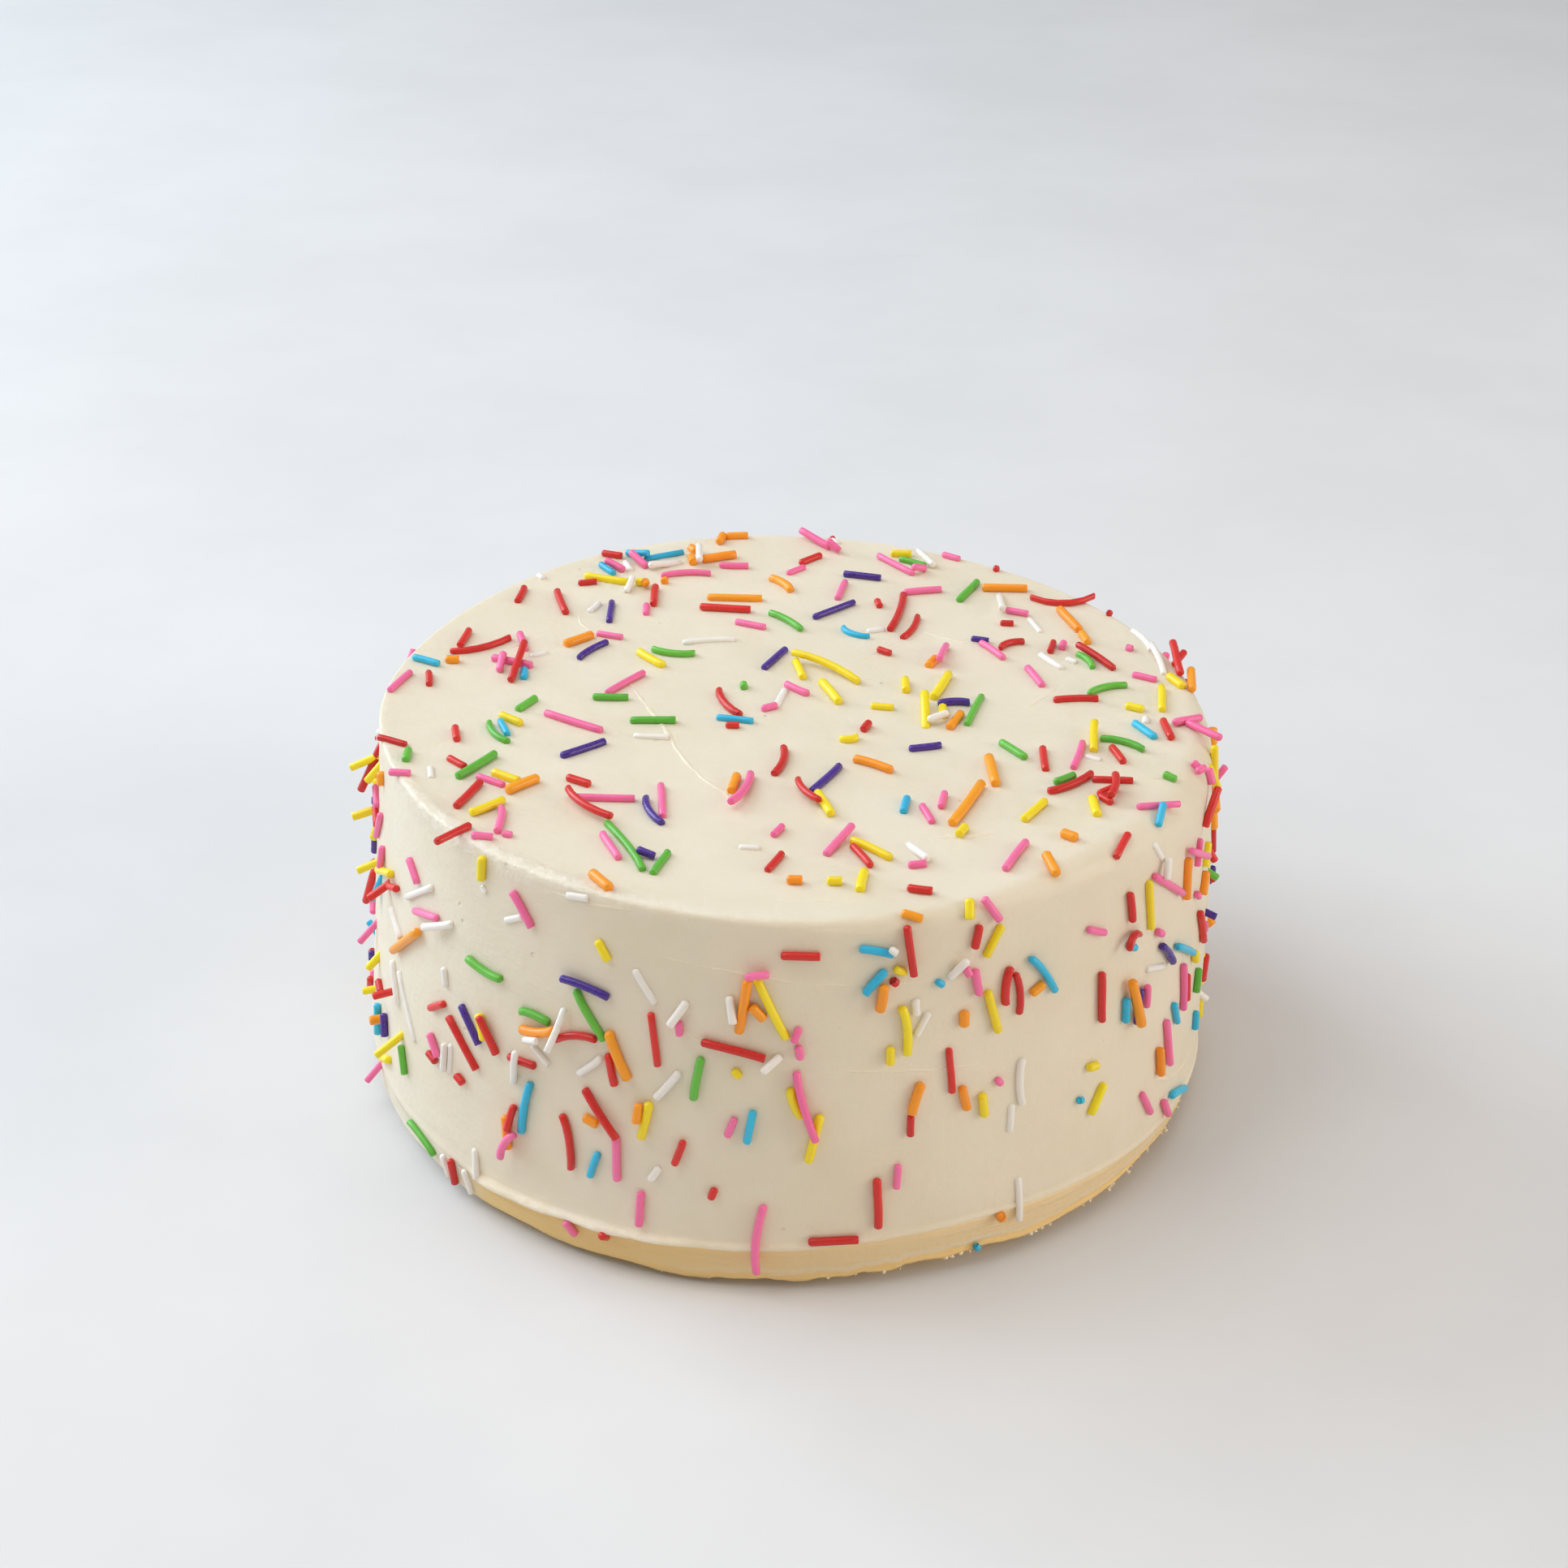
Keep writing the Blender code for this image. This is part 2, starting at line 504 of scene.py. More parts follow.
@dataclass(frozen=True)
class SugarFinish:
    """Coloured sugar of a sprinkle: satin, faintly streaked, some of it ribbed.

    The ribs show on the sprinkles whose tone lies above the range in ribbed.
    """

    colour: Colour
    deep: Colour
    roughness: float = 0.40
    subsurface: float = 0.0
    coat: float = 0.24
    mottle_scale: float = 900.0
    grain_scale: float = 2600.0
    ribs: float = 130.0
    rib_height: float = 0.16
    ribbed: Pair = (0.72, 0.86)
    relief_depth: float = 0.00008
    relief_strength: float = 0.35

    def material(self, name: str) -> bpy.types.Material:
        """Make the material of one colour.

        Args:
            name: Name of the material.

        Returns:
            The material, which reads the sprinkles' own tone and station attributes.
        """
        material, nodes, shader = new_material(name)
        shader.subsurface_method = "BURLEY"
        place = nodes.place()
        tone = nodes.mark("tone")
        mottle = nodes.noise(place, self.mottle_scale, 1.0, 0.6)
        mix = nodes.added(mottle, 0.5, nodes.times(tone, 0.6))
        mix = nodes.minus(mix, 0.15)

        ribs = nodes.calc("SINE", nodes.times(nodes.mark("station"), self.ribs))
        ribs = nodes.times(ribs, nodes.ramp(tone, *self.ribbed))
        grain = nodes.noise(place, self.grain_scale, 1.0, 0.6)
        relief = nodes.added(ribs, self.rib_height, grain)
        nodes.fill(shader, {
            "Base Color": nodes.mixed(mix, linear(self.deep), linear(self.colour)),
            "Roughness": nodes.ramp(
                mottle, 0.3, 0.7, self.roughness - 0.06, self.roughness + 0.08),
            "Normal": nodes.bumped(relief, self.relief_strength, self.relief_depth),
            "Subsurface Weight": self.subsurface,
            "Subsurface Radius": (0.9, 0.8, 0.7),
            "Subsurface Scale": 0.0008,
            "Coat Weight": self.coat,
            "Coat Roughness": 0.18,
            "IOR": 1.5,
        })
        return material


SUGAR: dict[Hue, SugarFinish] = {
    Hue.RED: SugarFinish((0.925, 0.175, 0.130), (0.790, 0.090, 0.075)),
    Hue.PINK: SugarFinish((1.000, 0.500, 0.710), (0.975, 0.410, 0.635)),
    Hue.ORANGE: SugarFinish((1.000, 0.680, 0.050), (1.000, 0.580, 0.020)),
    Hue.YELLOW: SugarFinish((1.000, 0.930, 0.050), (0.975, 0.862, 0.012)),
    Hue.GREEN: SugarFinish((0.450, 0.800, 0.270), (0.340, 0.700, 0.190)),
    Hue.BLUE: SugarFinish((0.200, 0.800, 0.950), (0.120, 0.690, 0.870)),
    Hue.PURPLE: SugarFinish((0.320, 0.180, 0.620), (0.230, 0.110, 0.520), roughness=0.30),
    Hue.WHITE: SugarFinish((0.965, 0.952, 0.928), (0.948, 0.932, 0.902), subsurface=0.30),
}


@dataclass
class CakeShape:
    """The turned and hand-smoothed form of the cake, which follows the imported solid.

    Lengths are in metres and places round the cake in degrees. The crest is the ridge that
    the knife left along the rim, the lip is the frosting that curls out over the band, the
    skirt is the ragged lower edge, and in the run-down the side goes straight down past the
    ledge.
    """

    height: float = 0.0886
    ledge: float = 0.0112
    skirt: float = 0.0028
    lowest_skirt: float = 0.0012
    foot_radius: float = 0.0892
    skirt_radius: float = 0.0954
    band_radius: float = 0.0958
    ledge_radius: float = 0.0966
    middle_radius: float = 0.0943
    top_radius: float = 0.0919
    rim: float = 0.0007
    soft_rim: float = 0.0070
    soft_rim_at: float = 335.0
    crest_height: float = 0.00044
    crest_reach: float = 0.0037
    crest_slope: float = 0.00080
    crest_at: Bump = (1.0, 226.0, 34.0)
    bulge: float = 0.0013
    bulge_at: Bump = (1.0, 1.0, 17.0)
    bulge_height: Pair = (0.050, 0.024)
    top_shift: float = 0.0011
    lobe: float = 0.0008
    top_wave: float = 0.0003
    ledge_wave: float = 0.0021
    ledge_wave_at: float = 293.0
    ledge_swell: Bump = (0.0015, 243.0, 22.0)
    skirt_wave: float = 0.0010
    tooth: float = 0.00034
    torn_at: tuple[Bump, ...] = ((1.0, 280.0, 18.0), (0.6, 92.0, 50.0))
    torn_least: float = 0.22
    raised: float = 0.0012
    raised_at: tuple[Bump, ...] = ((0.65, 326.0, 20.0), (-0.75, 256.0, 18.0), (-0.85, 280.0, 6.0))
    lip: float = 0.0015
    lip_at: tuple[Bump, ...] = ((1.0, 243.0, 28.0), (0.7, 85.0, 40.0))
    run_down_at: float = 201.0
    run_down_span: float = 27.0
    run_down_fade: float = 4.0
    scrape: float = 0.0006
    scrape_at: tuple[Bump, ...] = ((1.0, 306.0, 30.0), (0.5, 130.0, 50.0))
    scrape_heights: Pair = (0.0092, 0.0057)
    scrape_width: float = 0.0004

    # Waves round the cake that the teeth of the lower edge are made of: how many, and phase.
    TEETH = ((29, 0.3), (47, 2.1), (71, 4.4), (103, 1.2), (139, 5.3))

    def lobes(self, angle: Values, height: Values) -> Values:
        """How far the side stands off its turned shape.

        Args:
            angle: Angle round the cake, in radians, as in all that follows.
            height: Height on the side.

        Returns:
            The distance outwards.
        """
        wave = np.cos(3 * angle + 0.45) + 0.8 * np.cos(4 * angle + 0.1)
        wave = wave + 0.3 * np.cos(7 * angle - 40 * height)
        full = round_bumps(angle, self.bulge_at) * bell(height, *self.bulge_height)
        return self.lobe * wave * (0.4 + 0.6 * height / self.height) + self.bulge * full

    def ledge_height(self, angle: Values) -> Values:
        """Height of the ledge, which waves up and down round the cake."""
        wave = self.ledge_wave * np.cos(3 * (angle - math.radians(self.ledge_wave_at)))
        return self.ledge + wave + round_bumps(angle, self.ledge_swell)

    def side_radius(self, height: Values, ledge: Values) -> Values:
        """Radius of the side, on a curve through ledge, middle and rim.

        Args:
            height: Height on the side.
            ledge: Height of the ledge below.

        Returns:
            The radius.
        """
        share = (height - ledge) / (self.height - ledge)
        below = 2 * (share - 0.5) * (share - 1) * self.ledge_radius
        middle = -4 * share * (share - 1) * self.middle_radius
        return below + middle + 2 * share * (share - 0.5) * self.top_radius

    def skirt_height(self, angle: Values) -> Values:
        """Height of the ragged lower edge, torn most at the front.

        Args:
            angle: Angle round the cake.

        Returns:
            The height.
        """
        waves = 0.5 * np.cos(5 * angle + 0.5) + 0.35 * np.sin(9 * angle + 0.4)
        waves = waves + 0.25 * np.sin(23 * angle + 2.0)
        raised = round_bumps(angle, *self.raised_at)
        waves = waves + self.raised / self.skirt_wave * raised
        torn = round_bumps(angle, *self.torn_at) + self.torn_least
        teeth = np.zeros_like(angle)
        for count, phase in self.TEETH:
            drift = 1.7 * np.sin(count / 6 * angle + 3 * phase)
            teeth = teeth + 3.4 / math.sqrt(count) * np.sin(count * angle + phase + drift)
        height = self.skirt + self.skirt_wave * waves + self.tooth * torn * teeth
        return np.maximum(height, self.lowest_skirt)

    def rim_round(self, angle: Values) -> Values:
        """Radius of the rounding between side and top."""
        soft = (0.5 + 0.5 * np.cos(angle - math.radians(self.soft_rim_at))) ** 6
        return self.rim + (self.soft_rim - self.rim) * soft

    def top_height(self, angle: Values, radius: Values) -> Values:
        """Height of the top face, with the crest that stands at the left of the front.

        Args:
            angle: Angle round the cake.
            radius: Distance from the middle.

        Returns:
            The height.
        """
        x, y = radius * np.cos(angle), radius * np.sin(angle)
        wave = np.sin(x / 0.021 + 0.7) * np.cos(y / 0.026) + 0.5 * np.sin((x + y) / 0.034)
        around = round_bumps(angle, self.crest_at)
        jagged = np.sin(23 * angle + 1.0) + 0.8 * np.sin(41 * angle)
        jagged = jagged + 0.6 * np.sin(97 * angle + 2.0)
        jagged = 1.0 + 0.13 * jagged * (0.6 + 0.4 * np.sin(7 * angle))
        reach = self.crest_reach * (0.30 + 0.70 * around) * jagged
        inside = (radius - self.top_radius + reach) / self.crest_slope
        risen = 1.0 / (1.0 + np.exp(-np.clip(inside, -30, 30)))
        brim = 0.12 * bell(inside, 1.6, 1.8)
        return self.height + self.top_wave * wave + self.crest_height * around * (risen + brim)

    def run_down(self, angle: Values) -> Values:
        """Where the frosting runs straight down past the ledge, left of the front: 0 to 1."""
        away = np.abs(turned(angle, self.run_down_at))
        return climb(away, self.run_down_span, -self.run_down_fade)

    def lip_out(self, angle: Values) -> Values:
        """How far the frosting curls out over the band, most at the left of the front.

        Args:
            angle: Angle round the cake.

        Returns:
            The distance outwards.
        """
        strong = round_bumps(angle, *self.lip_at)
        ruffle = 0.14 * np.sin(19 * angle) + 0.10 * np.sin(41 * angle + 1.0)
        out = self.lip * (0.14 + 0.86 * strong + ruffle * (0.3 + strong))
        return out * (1 - self.run_down(angle))

    def scrape_out(self, angle: Values, height: Values) -> Values:
        """Steps that the scraper left across the band, most at the right of the front.

        Args:
            angle: Angle round the cake.
            height: Height on the band.

        Returns:
            The distance outwards.
        """
        upper, lower = self.scrape_heights
        first = upper + 0.0004 * np.sin(3 * angle + 0.6)
        second = lower + 0.0004 * np.sin(4 * angle + 2.0)
        steps = 0.5 * climb(height, first, self.scrape_width)
        steps = steps + 0.9 * climb(height, second, self.scrape_width)
        return self.scrape * round_bumps(angle, *self.scrape_at) * (steps - 0.9)

    def shoulder(self, angle: Values) -> tuple[Values, Values, Values]:
        """Where the rim's rounding lies.

        Args:
            angle: Angle round the cake.

        Returns:
            The rounding, the height where it starts and the radius of its centre.
        """
        rounding = self.rim_round(angle)
        start = self.height - rounding
        centre = self.side_radius(start, self.ledge_height(angle)) - rounding
        return rounding, start, centre

    def placed(self, angle: Values, radius: Values, height: Values) -> Values:
        """Place points of the skin, with the side's lobes and the lean of the cake.

        Args:
            angle: Angle of each point.
            radius: Its radius before the lobes.
            height: Its height.

        Returns:
            An array of x, y, z for each point.
        """
        reach = radius + self.lobes(angle, height) * radius / self.top_radius
        lean = self.top_shift * height / self.height
        return np.stack([reach * np.cos(angle) + lean, reach * np.sin(angle), height], axis=-1)


@dataclass
class Thread:
    """A thin raised line that the palette knife left standing in the frosting."""

    face: Face
    path: tuple[Pair, ...]
    radius: float = 0.0006


# Distance between the points of a thread: millimetres on the top, degrees on the side.
THREAD_STEPS = {Face.TOP: 1.5, Face.SIDE: 1.2}


@dataclass
class Smear:
    """A patch where the frosting was left rough, by place and reach in millimetres."""

    x: float
    y: float
    reach: float
    height: float = 90.0


class Surface:
    """The finished frosting, which tells where it lies.

    In millimetres, RIM is the radius beyond which a place on the top counts as on the side,
    EDGE the greatest height that a place on the side has, and FOLD how far down the side each
    millimetre beyond the rim leads. START is how far out a ray starts, in metres.
    """

    RIM = 91.2
    EDGE = 88.2
    FOLD = 0.6
    START = 0.15

    def __init__(self, mesh: bpy.types.Mesh) -> None:
        """Read the frosting's mesh."""
        points = [vertex.co.copy() for vertex in mesh.vertices]
        self.tree = BVHTree.FromPolygons(points, [tuple(face.vertices) for face in mesh.polygons])

    def hit(self, origin: Vector, direction: Vector) -> tuple[Vector, Vector] | None:
        """First point that a ray meets, and the normal there, or None."""
        place, normal, _, _ = self.tree.ray_cast(origin, direction)
        return None if place is None else (place, normal)

    def at(self, face: Face, first: float, second: float) -> tuple[Vector, Vector] | None:
        """The frosting's point at a place on the top or the side.

        Args:
            face: Which face.
            first: x in millimetres on the top, or the angle in degrees on the side.
            second: y in millimetres on the top, or the height in millimetres on the side.

        Returns:
            The point and the normal there, or None beside the cake.
        """
        beyond = math.hypot(first, second) - self.RIM
        if face is Face.TOP and beyond <= 0:
            return self.hit(Vector((first * MM, second * MM, self.START)), Vector((0, 0, -1)))
        if face is Face.TOP:
            first = math.degrees(math.atan2(second, first))
            second = self.EDGE - self.FOLD * beyond
        second = min(second, self.EDGE)
        outward = Vector((math.cos(math.radians(first)), math.sin(math.radians(first)), 0))
        return self.hit(outward * self.START + Vector((0, 0, second * MM)), -outward)


@dataclass
class Frosting:
    """The coat of cream frosting: a fine skin with what the palette knife left on it.

    Swell, dapple, stroke, scrape and rough are the depths in metres of the kinds of relief,
    and each has how fine its noise is, the stroke apart on the side and on the top. The
    margin is the top's outer ring, whose rows lie closer, and the hem is how far above the
    skirt's edge the band starts. Top_start and top_edge are the height and the radius that
    bound the strokes of the top, and the lip's marks lie beyond the radius in outside.
    """

    shape: CakeShape = field(default_factory=CakeShape)
    finish: FrostingFinish = field(default_factory=FrostingFinish)
    across: int = 144
    band_rows: int = 16
    side_rows: int = 62
    rim_rows: int = 10
    smooth_rows: int = 6
    margin: float = 0.0052
    margin_rows: int = 13
    hem: float = 0.0008
    under_lip: float = 0.0013
    side_start: float = 0.0015
    swell: float = 0.00022
    dapple: float = 0.00007
    stroke: float = 0.00014
    scrape: float = 0.00009
    rough: float = 0.00040
    swell_scales: Scales = (38.0, 38.0, 38.0)
    dapple_scales: Scales = (150.0, 150.0, 190.0)
    side_scales: Scales = (24.0, 24.0, 240.0)
    top_scales: Scales = (52.0, 150.0, 52.0)
    scrape_scales: Scales = (30.0, 30.0, 1500.0)
    rough_scales: Scales = (420.0, 420.0, 520.0)
    crest_inset: float = 0.0017
    crest_width: float = 0.0023
    # Where a highlight is painted on the lip as paler cream.
    lip_highlight_at: Bump = (1.0, 246.0, 13.0)
    lip_torn_at: Bump = (1.0, 246.0, 30.0)
    # Where a warm reflection is painted over the whole band at the foot; elsewhere it lies in
    # stripes.
    painted_reflection_at: Bump = (1.0, 240.0, 27.0)
    top_start: float = 0.086
    top_edge: float = 0.089
    outside: float = 0.09
    thread_depth: float = 0.48
    thread_wobble: float = 0.12
    thread_seed: int = 11
    crumb_places: int = 900
    crumb_lowest: float = 0.0014
    crumb_inset: Pair = (0.0001, 0.0012)
    crumb_lift: float = 0.0002
    crumb_seed: int = 23
    smears: tuple[Smear, ...] = (
        Smear(-44, 66, 15), Smear(-32, 74, 12), Smear(34, 44, 9), Smear(58, 34, 9),
        Smear(76, 26, 10), Smear(84, 0, 8), Smear(56, -20, 6), Smear(-66, 22, 7),
        Smear(-20, 33, 7), Smear(-30, -16, 6), Smear(-70, -36, 6), Smear(-60, -66, 7, 88),
        Smear(-48, -74, 6, 88), Smear(34, -58, 6), Smear(9, -88, 7, 89),
        Smear(92, -34, 8, 64), Smear(90, -46, 7, 22), Smear(-93, -18, 8, 50),
        Smear(66, -58, 9), Smear(77, -44, 8), Smear(60, -76, 9, 30), Smear(74, -62, 8, 18),
        Smear(-88, -42, 7, 62), Smear(-70, -66, 6, 40),
    )
    threads: tuple[Thread, ...] = (
        Thread(Face.TOP, ((-44, 24), (-41, 16), (-37, 10), (-33, 0), (-28, -12), (-24, -24),
                          (-19, -34), (-13, -43), (-14, -55)), 0.0008),
        Thread(Face.TOP, ((-52, 50), (-50, 40), (-46, 33), (-44, 24)), 0.0004),
        Thread(Face.TOP, ((-70, 22), (-62, 30), (-57, 33)), 0.0004),
        Thread(Face.TOP, ((28, 40), (38, 34), (48, 33)), 0.0005),
        Thread(Face.TOP, ((12, 18), (22, 30), (27, 36)), 0.0004),
        Thread(Face.TOP, ((50, -2), (58, 8), (62, 16)), 0.0005),
        Thread(Face.TOP, ((72, -30), (80, -31), (88, -29)), 0.0008),
        Thread(Face.TOP, ((26, -58), (36, -57), (44, -55)), 0.0008),
        Thread(Face.TOP, ((-8, -82), (2, -84), (12, -83), (20, -85)), 0.0005),
        Thread(Face.SIDE, ((236, 87), (241, 86.6), (247, 87), (252, 87.6)), 0.0008),
        Thread(Face.SIDE, ((243, 80), (252, 78.5), (262, 77), (274, 74.5), (286, 73), (296, 72)),
               0.0004),
        Thread(Face.SIDE, ((266, 56), (276, 54.5), (288, 52), (302, 49)), 0.0004),
        Thread(Face.SIDE, ((255, 64), (259, 61), (262, 58)), 0.0005),
        Thread(Face.SIDE, ((326, 26), (331, 21), (336, 18), (343, 17)), 0.0007),
        Thread(Face.SIDE, ((60, 40), (76, 43), (98, 41), (116, 44)), 0.0006),
        Thread(Face.SIDE, ((140, 62), (152, 60), (168, 61)), 0.0006),
    )

    def meridian(self, angle: Values) -> list[tuple[Values, Values]]:
        """Radius and height of every row of the skin below the top disc.

        Args:
            angle: Angle of each column.

        Returns:
            The rows from the foot up to the inner end of the rim.
        """
        shape = self.shape
        skirt, ledge = shape.skirt_height(angle), shape.ledge_height(angle)

        # The foot, the recess above it and the underside of the ragged edge.
        flat = np.zeros_like(angle)
        foot, edge = shape.foot_radius + flat, shape.skirt_radius + flat
        rows = [(foot, flat), (foot, flat + 0.0012), (foot + 0.0010, skirt + 0.0003),
                (edge - 0.0024, skirt + 0.0005), (edge - 0.0010, skirt + 0.0001),
                (edge - 0.0003, skirt + 0.0002), (edge, skirt + self.hem)]

        # The band, and the lip that stands out over it.
        lip = shape.lip_out(angle)
        band_top = ledge - self.under_lip
        for row in range(1, self.band_rows + 1):
            share = row / self.band_rows
            height = skirt + self.hem + share * (band_top - skirt - self.hem)
            radius = edge + share * (shape.band_radius - edge)
            rows.append((radius + shape.scrape_out(angle, height), height))
        nose = shape.ledge_radius + lip
        rows += [(shape.band_radius - 0.25 * lip, ledge - 0.0010),
                 (nose - 0.0006, ledge - 0.0010), (nose - 0.0001, ledge - 0.0006),
                 (nose, ledge - 0.0002), (nose - 0.00015, ledge + 0.0002),
                 (nose - 0.0003 - 0.30 * lip, ledge + 0.0006),
                 (nose - 0.0003 - 0.75 * lip, ledge + 0.0010)]

        # No band or lip where the side runs straight down.
        bare = shape.run_down(angle)
        for row in range(self.smooth_rows + 1, len(rows)):
            radius, height = rows[row]
            even = shape.ledge_radius - 0.0008 * climb(height, ledge, -0.008)
            rows[row] = (radius + bare * (even - radius), height)

        _, start, _ = shape.shoulder(angle)
        for row in range(self.side_rows + 1):
            rise = start - ledge - self.side_start
            height = ledge + self.side_start + row / self.side_rows * rise
            curl = 0.12 * lip * bell(height, ledge + self.side_start, 0.0015)
            rows.append((shape.side_radius(height, ledge) + curl, height))
        return rows + self.rim_arc(angle)

    def rim_arc(self, angle: Values) -> list[tuple[Values, Values]]:
        """Rows of the rounding between side and top, and of the top's outer margin.

        Args:
            angle: Angle of each column.

        Returns:
            Radius and height of each row.
        """
        rounding, _, centre = self.shape.shoulder(angle)
        rows = []
        for row in range(1, self.rim_rows + 1):
            turn = math.pi / 2 * row / self.rim_rows
            radius = centre + rounding * math.cos(turn)
            fall = rounding * (1 - math.sin(turn))
            rows.append((radius, self.shape.top_height(angle, radius) - fall))
        for row in range(1, self.margin_rows + 1):
            radius = centre - self.margin * row / self.margin_rows
            rows.append((radius, self.shape.top_height(angle, radius)))
        return rows

    def top_disc(self) -> tuple[Values, list[list[int]]]:
        """Points inside the rim, on a square grid bent into a disc.

        Returns:
            The points, and the number of each grid point: rim points count from 0 round the
            ring and inner points follow them.
        """
        size = self.across
        ring = 4 * size
        number = [[-1] * (size + 1) for _ in range(size + 1)]
        for step in range(size):
            number[size][step] = step
            number[size - step][size] = size + step
            number[0][size - step] = 2 * size + step
            number[step][0] = 3 * size + step
        angles, shares = [], []
        for i in range(1, size):
            for j in range(1, size):
                a, b = 2 * i / size - 1, 2 * j / size - 1
                number[i][j] = ring + len(angles)
                if abs(a) >= abs(b):
                    angles.append(math.pi / 4 * b / a + (math.pi if a < 0 else 0) if a else 0.0)
                else:
                    angles.append(math.pi / 2 - math.pi / 4 * a / b + (math.pi if b < 0 else 0))
                shares.append(max(abs(a), abs(b)))
        angle, share = np.array(angles), np.array(shares)
        radius = share * (self.shape.shoulder(angle)[2] - self.margin)
        return self.shape.placed(angle, radius, self.shape.top_height(angle, radius)), number

    def skin(self) -> tuple[Values, list[tuple[int, ...]]]:
        """Build the skin.

        Returns:
            Its points and its faces.
        """
        ring = 4 * self.across
        angle = -math.pi / 4 + 2 * math.pi * np.arange(ring) / ring
        rows = self.meridian(angle)
        points = [self.shape.placed(angle, radius, height) for radius, height in rows]
        points[0] = np.stack([rows[0][0] * np.cos(angle), rows[0][0] * np.sin(angle),
                              rows[0][1]], axis=-1)
        inner, number = self.top_disc()
        last = (len(rows) - 1) * ring
        middle = last + ring + len(inner)
        faces: list[tuple[int, ...]] = []
        for row in range(len(rows) - 1):
            for step in range(ring):
                a, b = row * ring + step, row * ring + (step + 1) % ring
                faces.append((a, b, b + ring, a + ring))
        for i in range(self.across):
            for j in range(self.across):
                corners = (number[i][j], number[i + 1][j], number[i + 1][j + 1], number[i][j + 1])
                faces.append(tuple(last + corner for corner in corners))
        faces += [((step + 1) % ring, step, middle) for step in range(ring)]
        below = np.zeros((1, 3))
        return np.concatenate([*points, inner, below]), faces

    def marks(self, points: Values) -> dict[str, Values]:
        """How strongly each kind of knife mark shows at each point, from 0 to 1.

        Args:
            points: The skin's points, about the origin.

        Returns:
            The attribute values by name: where marks show at all, on the band, on the torn
            crest and lip, on the smears and on the top, where a warm reflection is painted on
            the band at the foot, and where the cream is paler: on the crest as whiter, thicker
            frosting with a painted highlight, and on the lip as a painted highlight.
        """
        angle = np.arctan2(points[:, 1], points[:, 0])
        radius = np.hypot(points[:, 0], points[:, 1])
        height = points[:, 2]
        ledge, shape = self.shape.ledge_height(angle), self.shape
        free = np.ones(len(points))
        free[:self.smooth_rows * 4 * self.across] = 0.0
        free[-1] = 0.0
        band = climb(height, ledge + 0.002, -0.002) * free
        top = climb(height, self.top_start, 0.0015) * climb(radius, self.top_edge, -0.004)
        rough = np.zeros(len(points))
        for smear in self.smears:
            place = np.array([smear.x, smear.y, smear.height]) * MM
            away = np.linalg.norm(points - place, axis=1)
            rough = np.maximum(rough, bell(away, 0.0, smear.reach * MM * 0.6))

        # The low mark is a painted warm reflection on the band at the foot: full at the left of the
        # front, in stripes above the lower edge elsewhere.
        above = height - shape.skirt_height(angle)
        reflection_stripes = 0.20 + 0.75 * climb(above, 0.0022, -0.0005)
        reflection_stripes = reflection_stripes + 0.36 * climb(above, 0.0032, 0.0005)
        full = round_bumps(angle, self.painted_reflection_at)
        low = climb(height, ledge - 0.0006, -0.0008) * (full + (1 - full) * reflection_stripes)
        low = low * (1 - shape.run_down(angle))

        crest = round_bumps(angle, shape.crest_at)
        crest = crest * bell(radius, shape.top_radius - self.crest_inset, self.crest_width)
        crest = crest * climb(height, shape.height - 0.004, 0.003)
        lip = bell(height, ledge + 0.0001, 0.0012) * (radius > self.outside)
        # The paler cream of the crest is partly whiter, thicker frosting and partly a painted
        # highlight; on the lip it is a painted highlight.
        pale = round_bumps(angle, self.lip_highlight_at) * lip
        torn = round_bumps(angle, self.lip_torn_at) * lip
        thick = np.clip(0.75 * crest + 0.6 * pale, 0, 1)
        crest = np.maximum(crest, 0.45 * torn)
        return {"free": free, "band": band, "crest": crest, "rough": rough * free, "top": top,
                "low": low, "thick": thick}

    def relief_tree(self, material: bpy.types.Material) -> GeometryTree:
        """Tree that moves the skin in and out as the palette knife did.

        Args:
            material: Finish of the frosting.

        Returns:
            The tree, with the depth of each kind of mark as an input.
        """
        tree = GeometryTree("frosting_relief", {
            "Swell": self.swell, "Dapple": self.dapple, "Stroke": self.stroke,
            "Scrape": self.scrape, "Rough": self.rough, "Material": material})
        place = tree.out("GeometryNodeInputPosition")
        normal = tree.out("GeometryNodeInputNormal")

        def wave(scales: Scales, detail: float) -> Socket:
            """Noise from -1 to 1 with its own scale along each axis."""
            value = tree.noise(tree.vector("MULTIPLY", place, scales), 1.0, detail, 0.55)
            return tree.added(value, 2.0, -1.0)

        def moved(depth: str, amount: Any, value: Any) -> Socket:
            """A named depth times an amount times a value."""
            return tree.times(tree.given(depth), tree.times(amount, value))

        top = tree.attribute("top")
        side = tree.minus(1.0, top)
        strokes = tree.plus(moved("Stroke", side, wave(self.side_scales, 3.0)),
                            moved("Stroke", top, wave(self.top_scales, 3.0)))
        ridges = tree.calc("ABSOLUTE", wave(self.rough_scales, 2.0))
        torn = tree.added(ridges, -1.6, 0.35)
        crest = tree.times(tree.attribute("crest"), 2.00)
        rough = tree.calc("MAXIMUM", tree.attribute("rough"), crest)
        total = tree.plus(moved("Swell", 1.0, wave(self.swell_scales, 2.0)), strokes)
        total = tree.plus(total, moved("Dapple", 1.0, wave(self.dapple_scales, 2.0)))
        lines = wave(self.scrape_scales, 2.0)
        total = tree.plus(total, moved("Scrape", tree.attribute("band"), lines))
        total = tree.plus(total, moved("Rough", rough, torn))
        total = tree.times(total, tree.attribute("free"))
        tree.end(tree.out("GeometryNodeSetPosition", {
            "Geometry": tree.given("Geometry"), "Offset": tree.scaled(normal, total)}))
        return tree

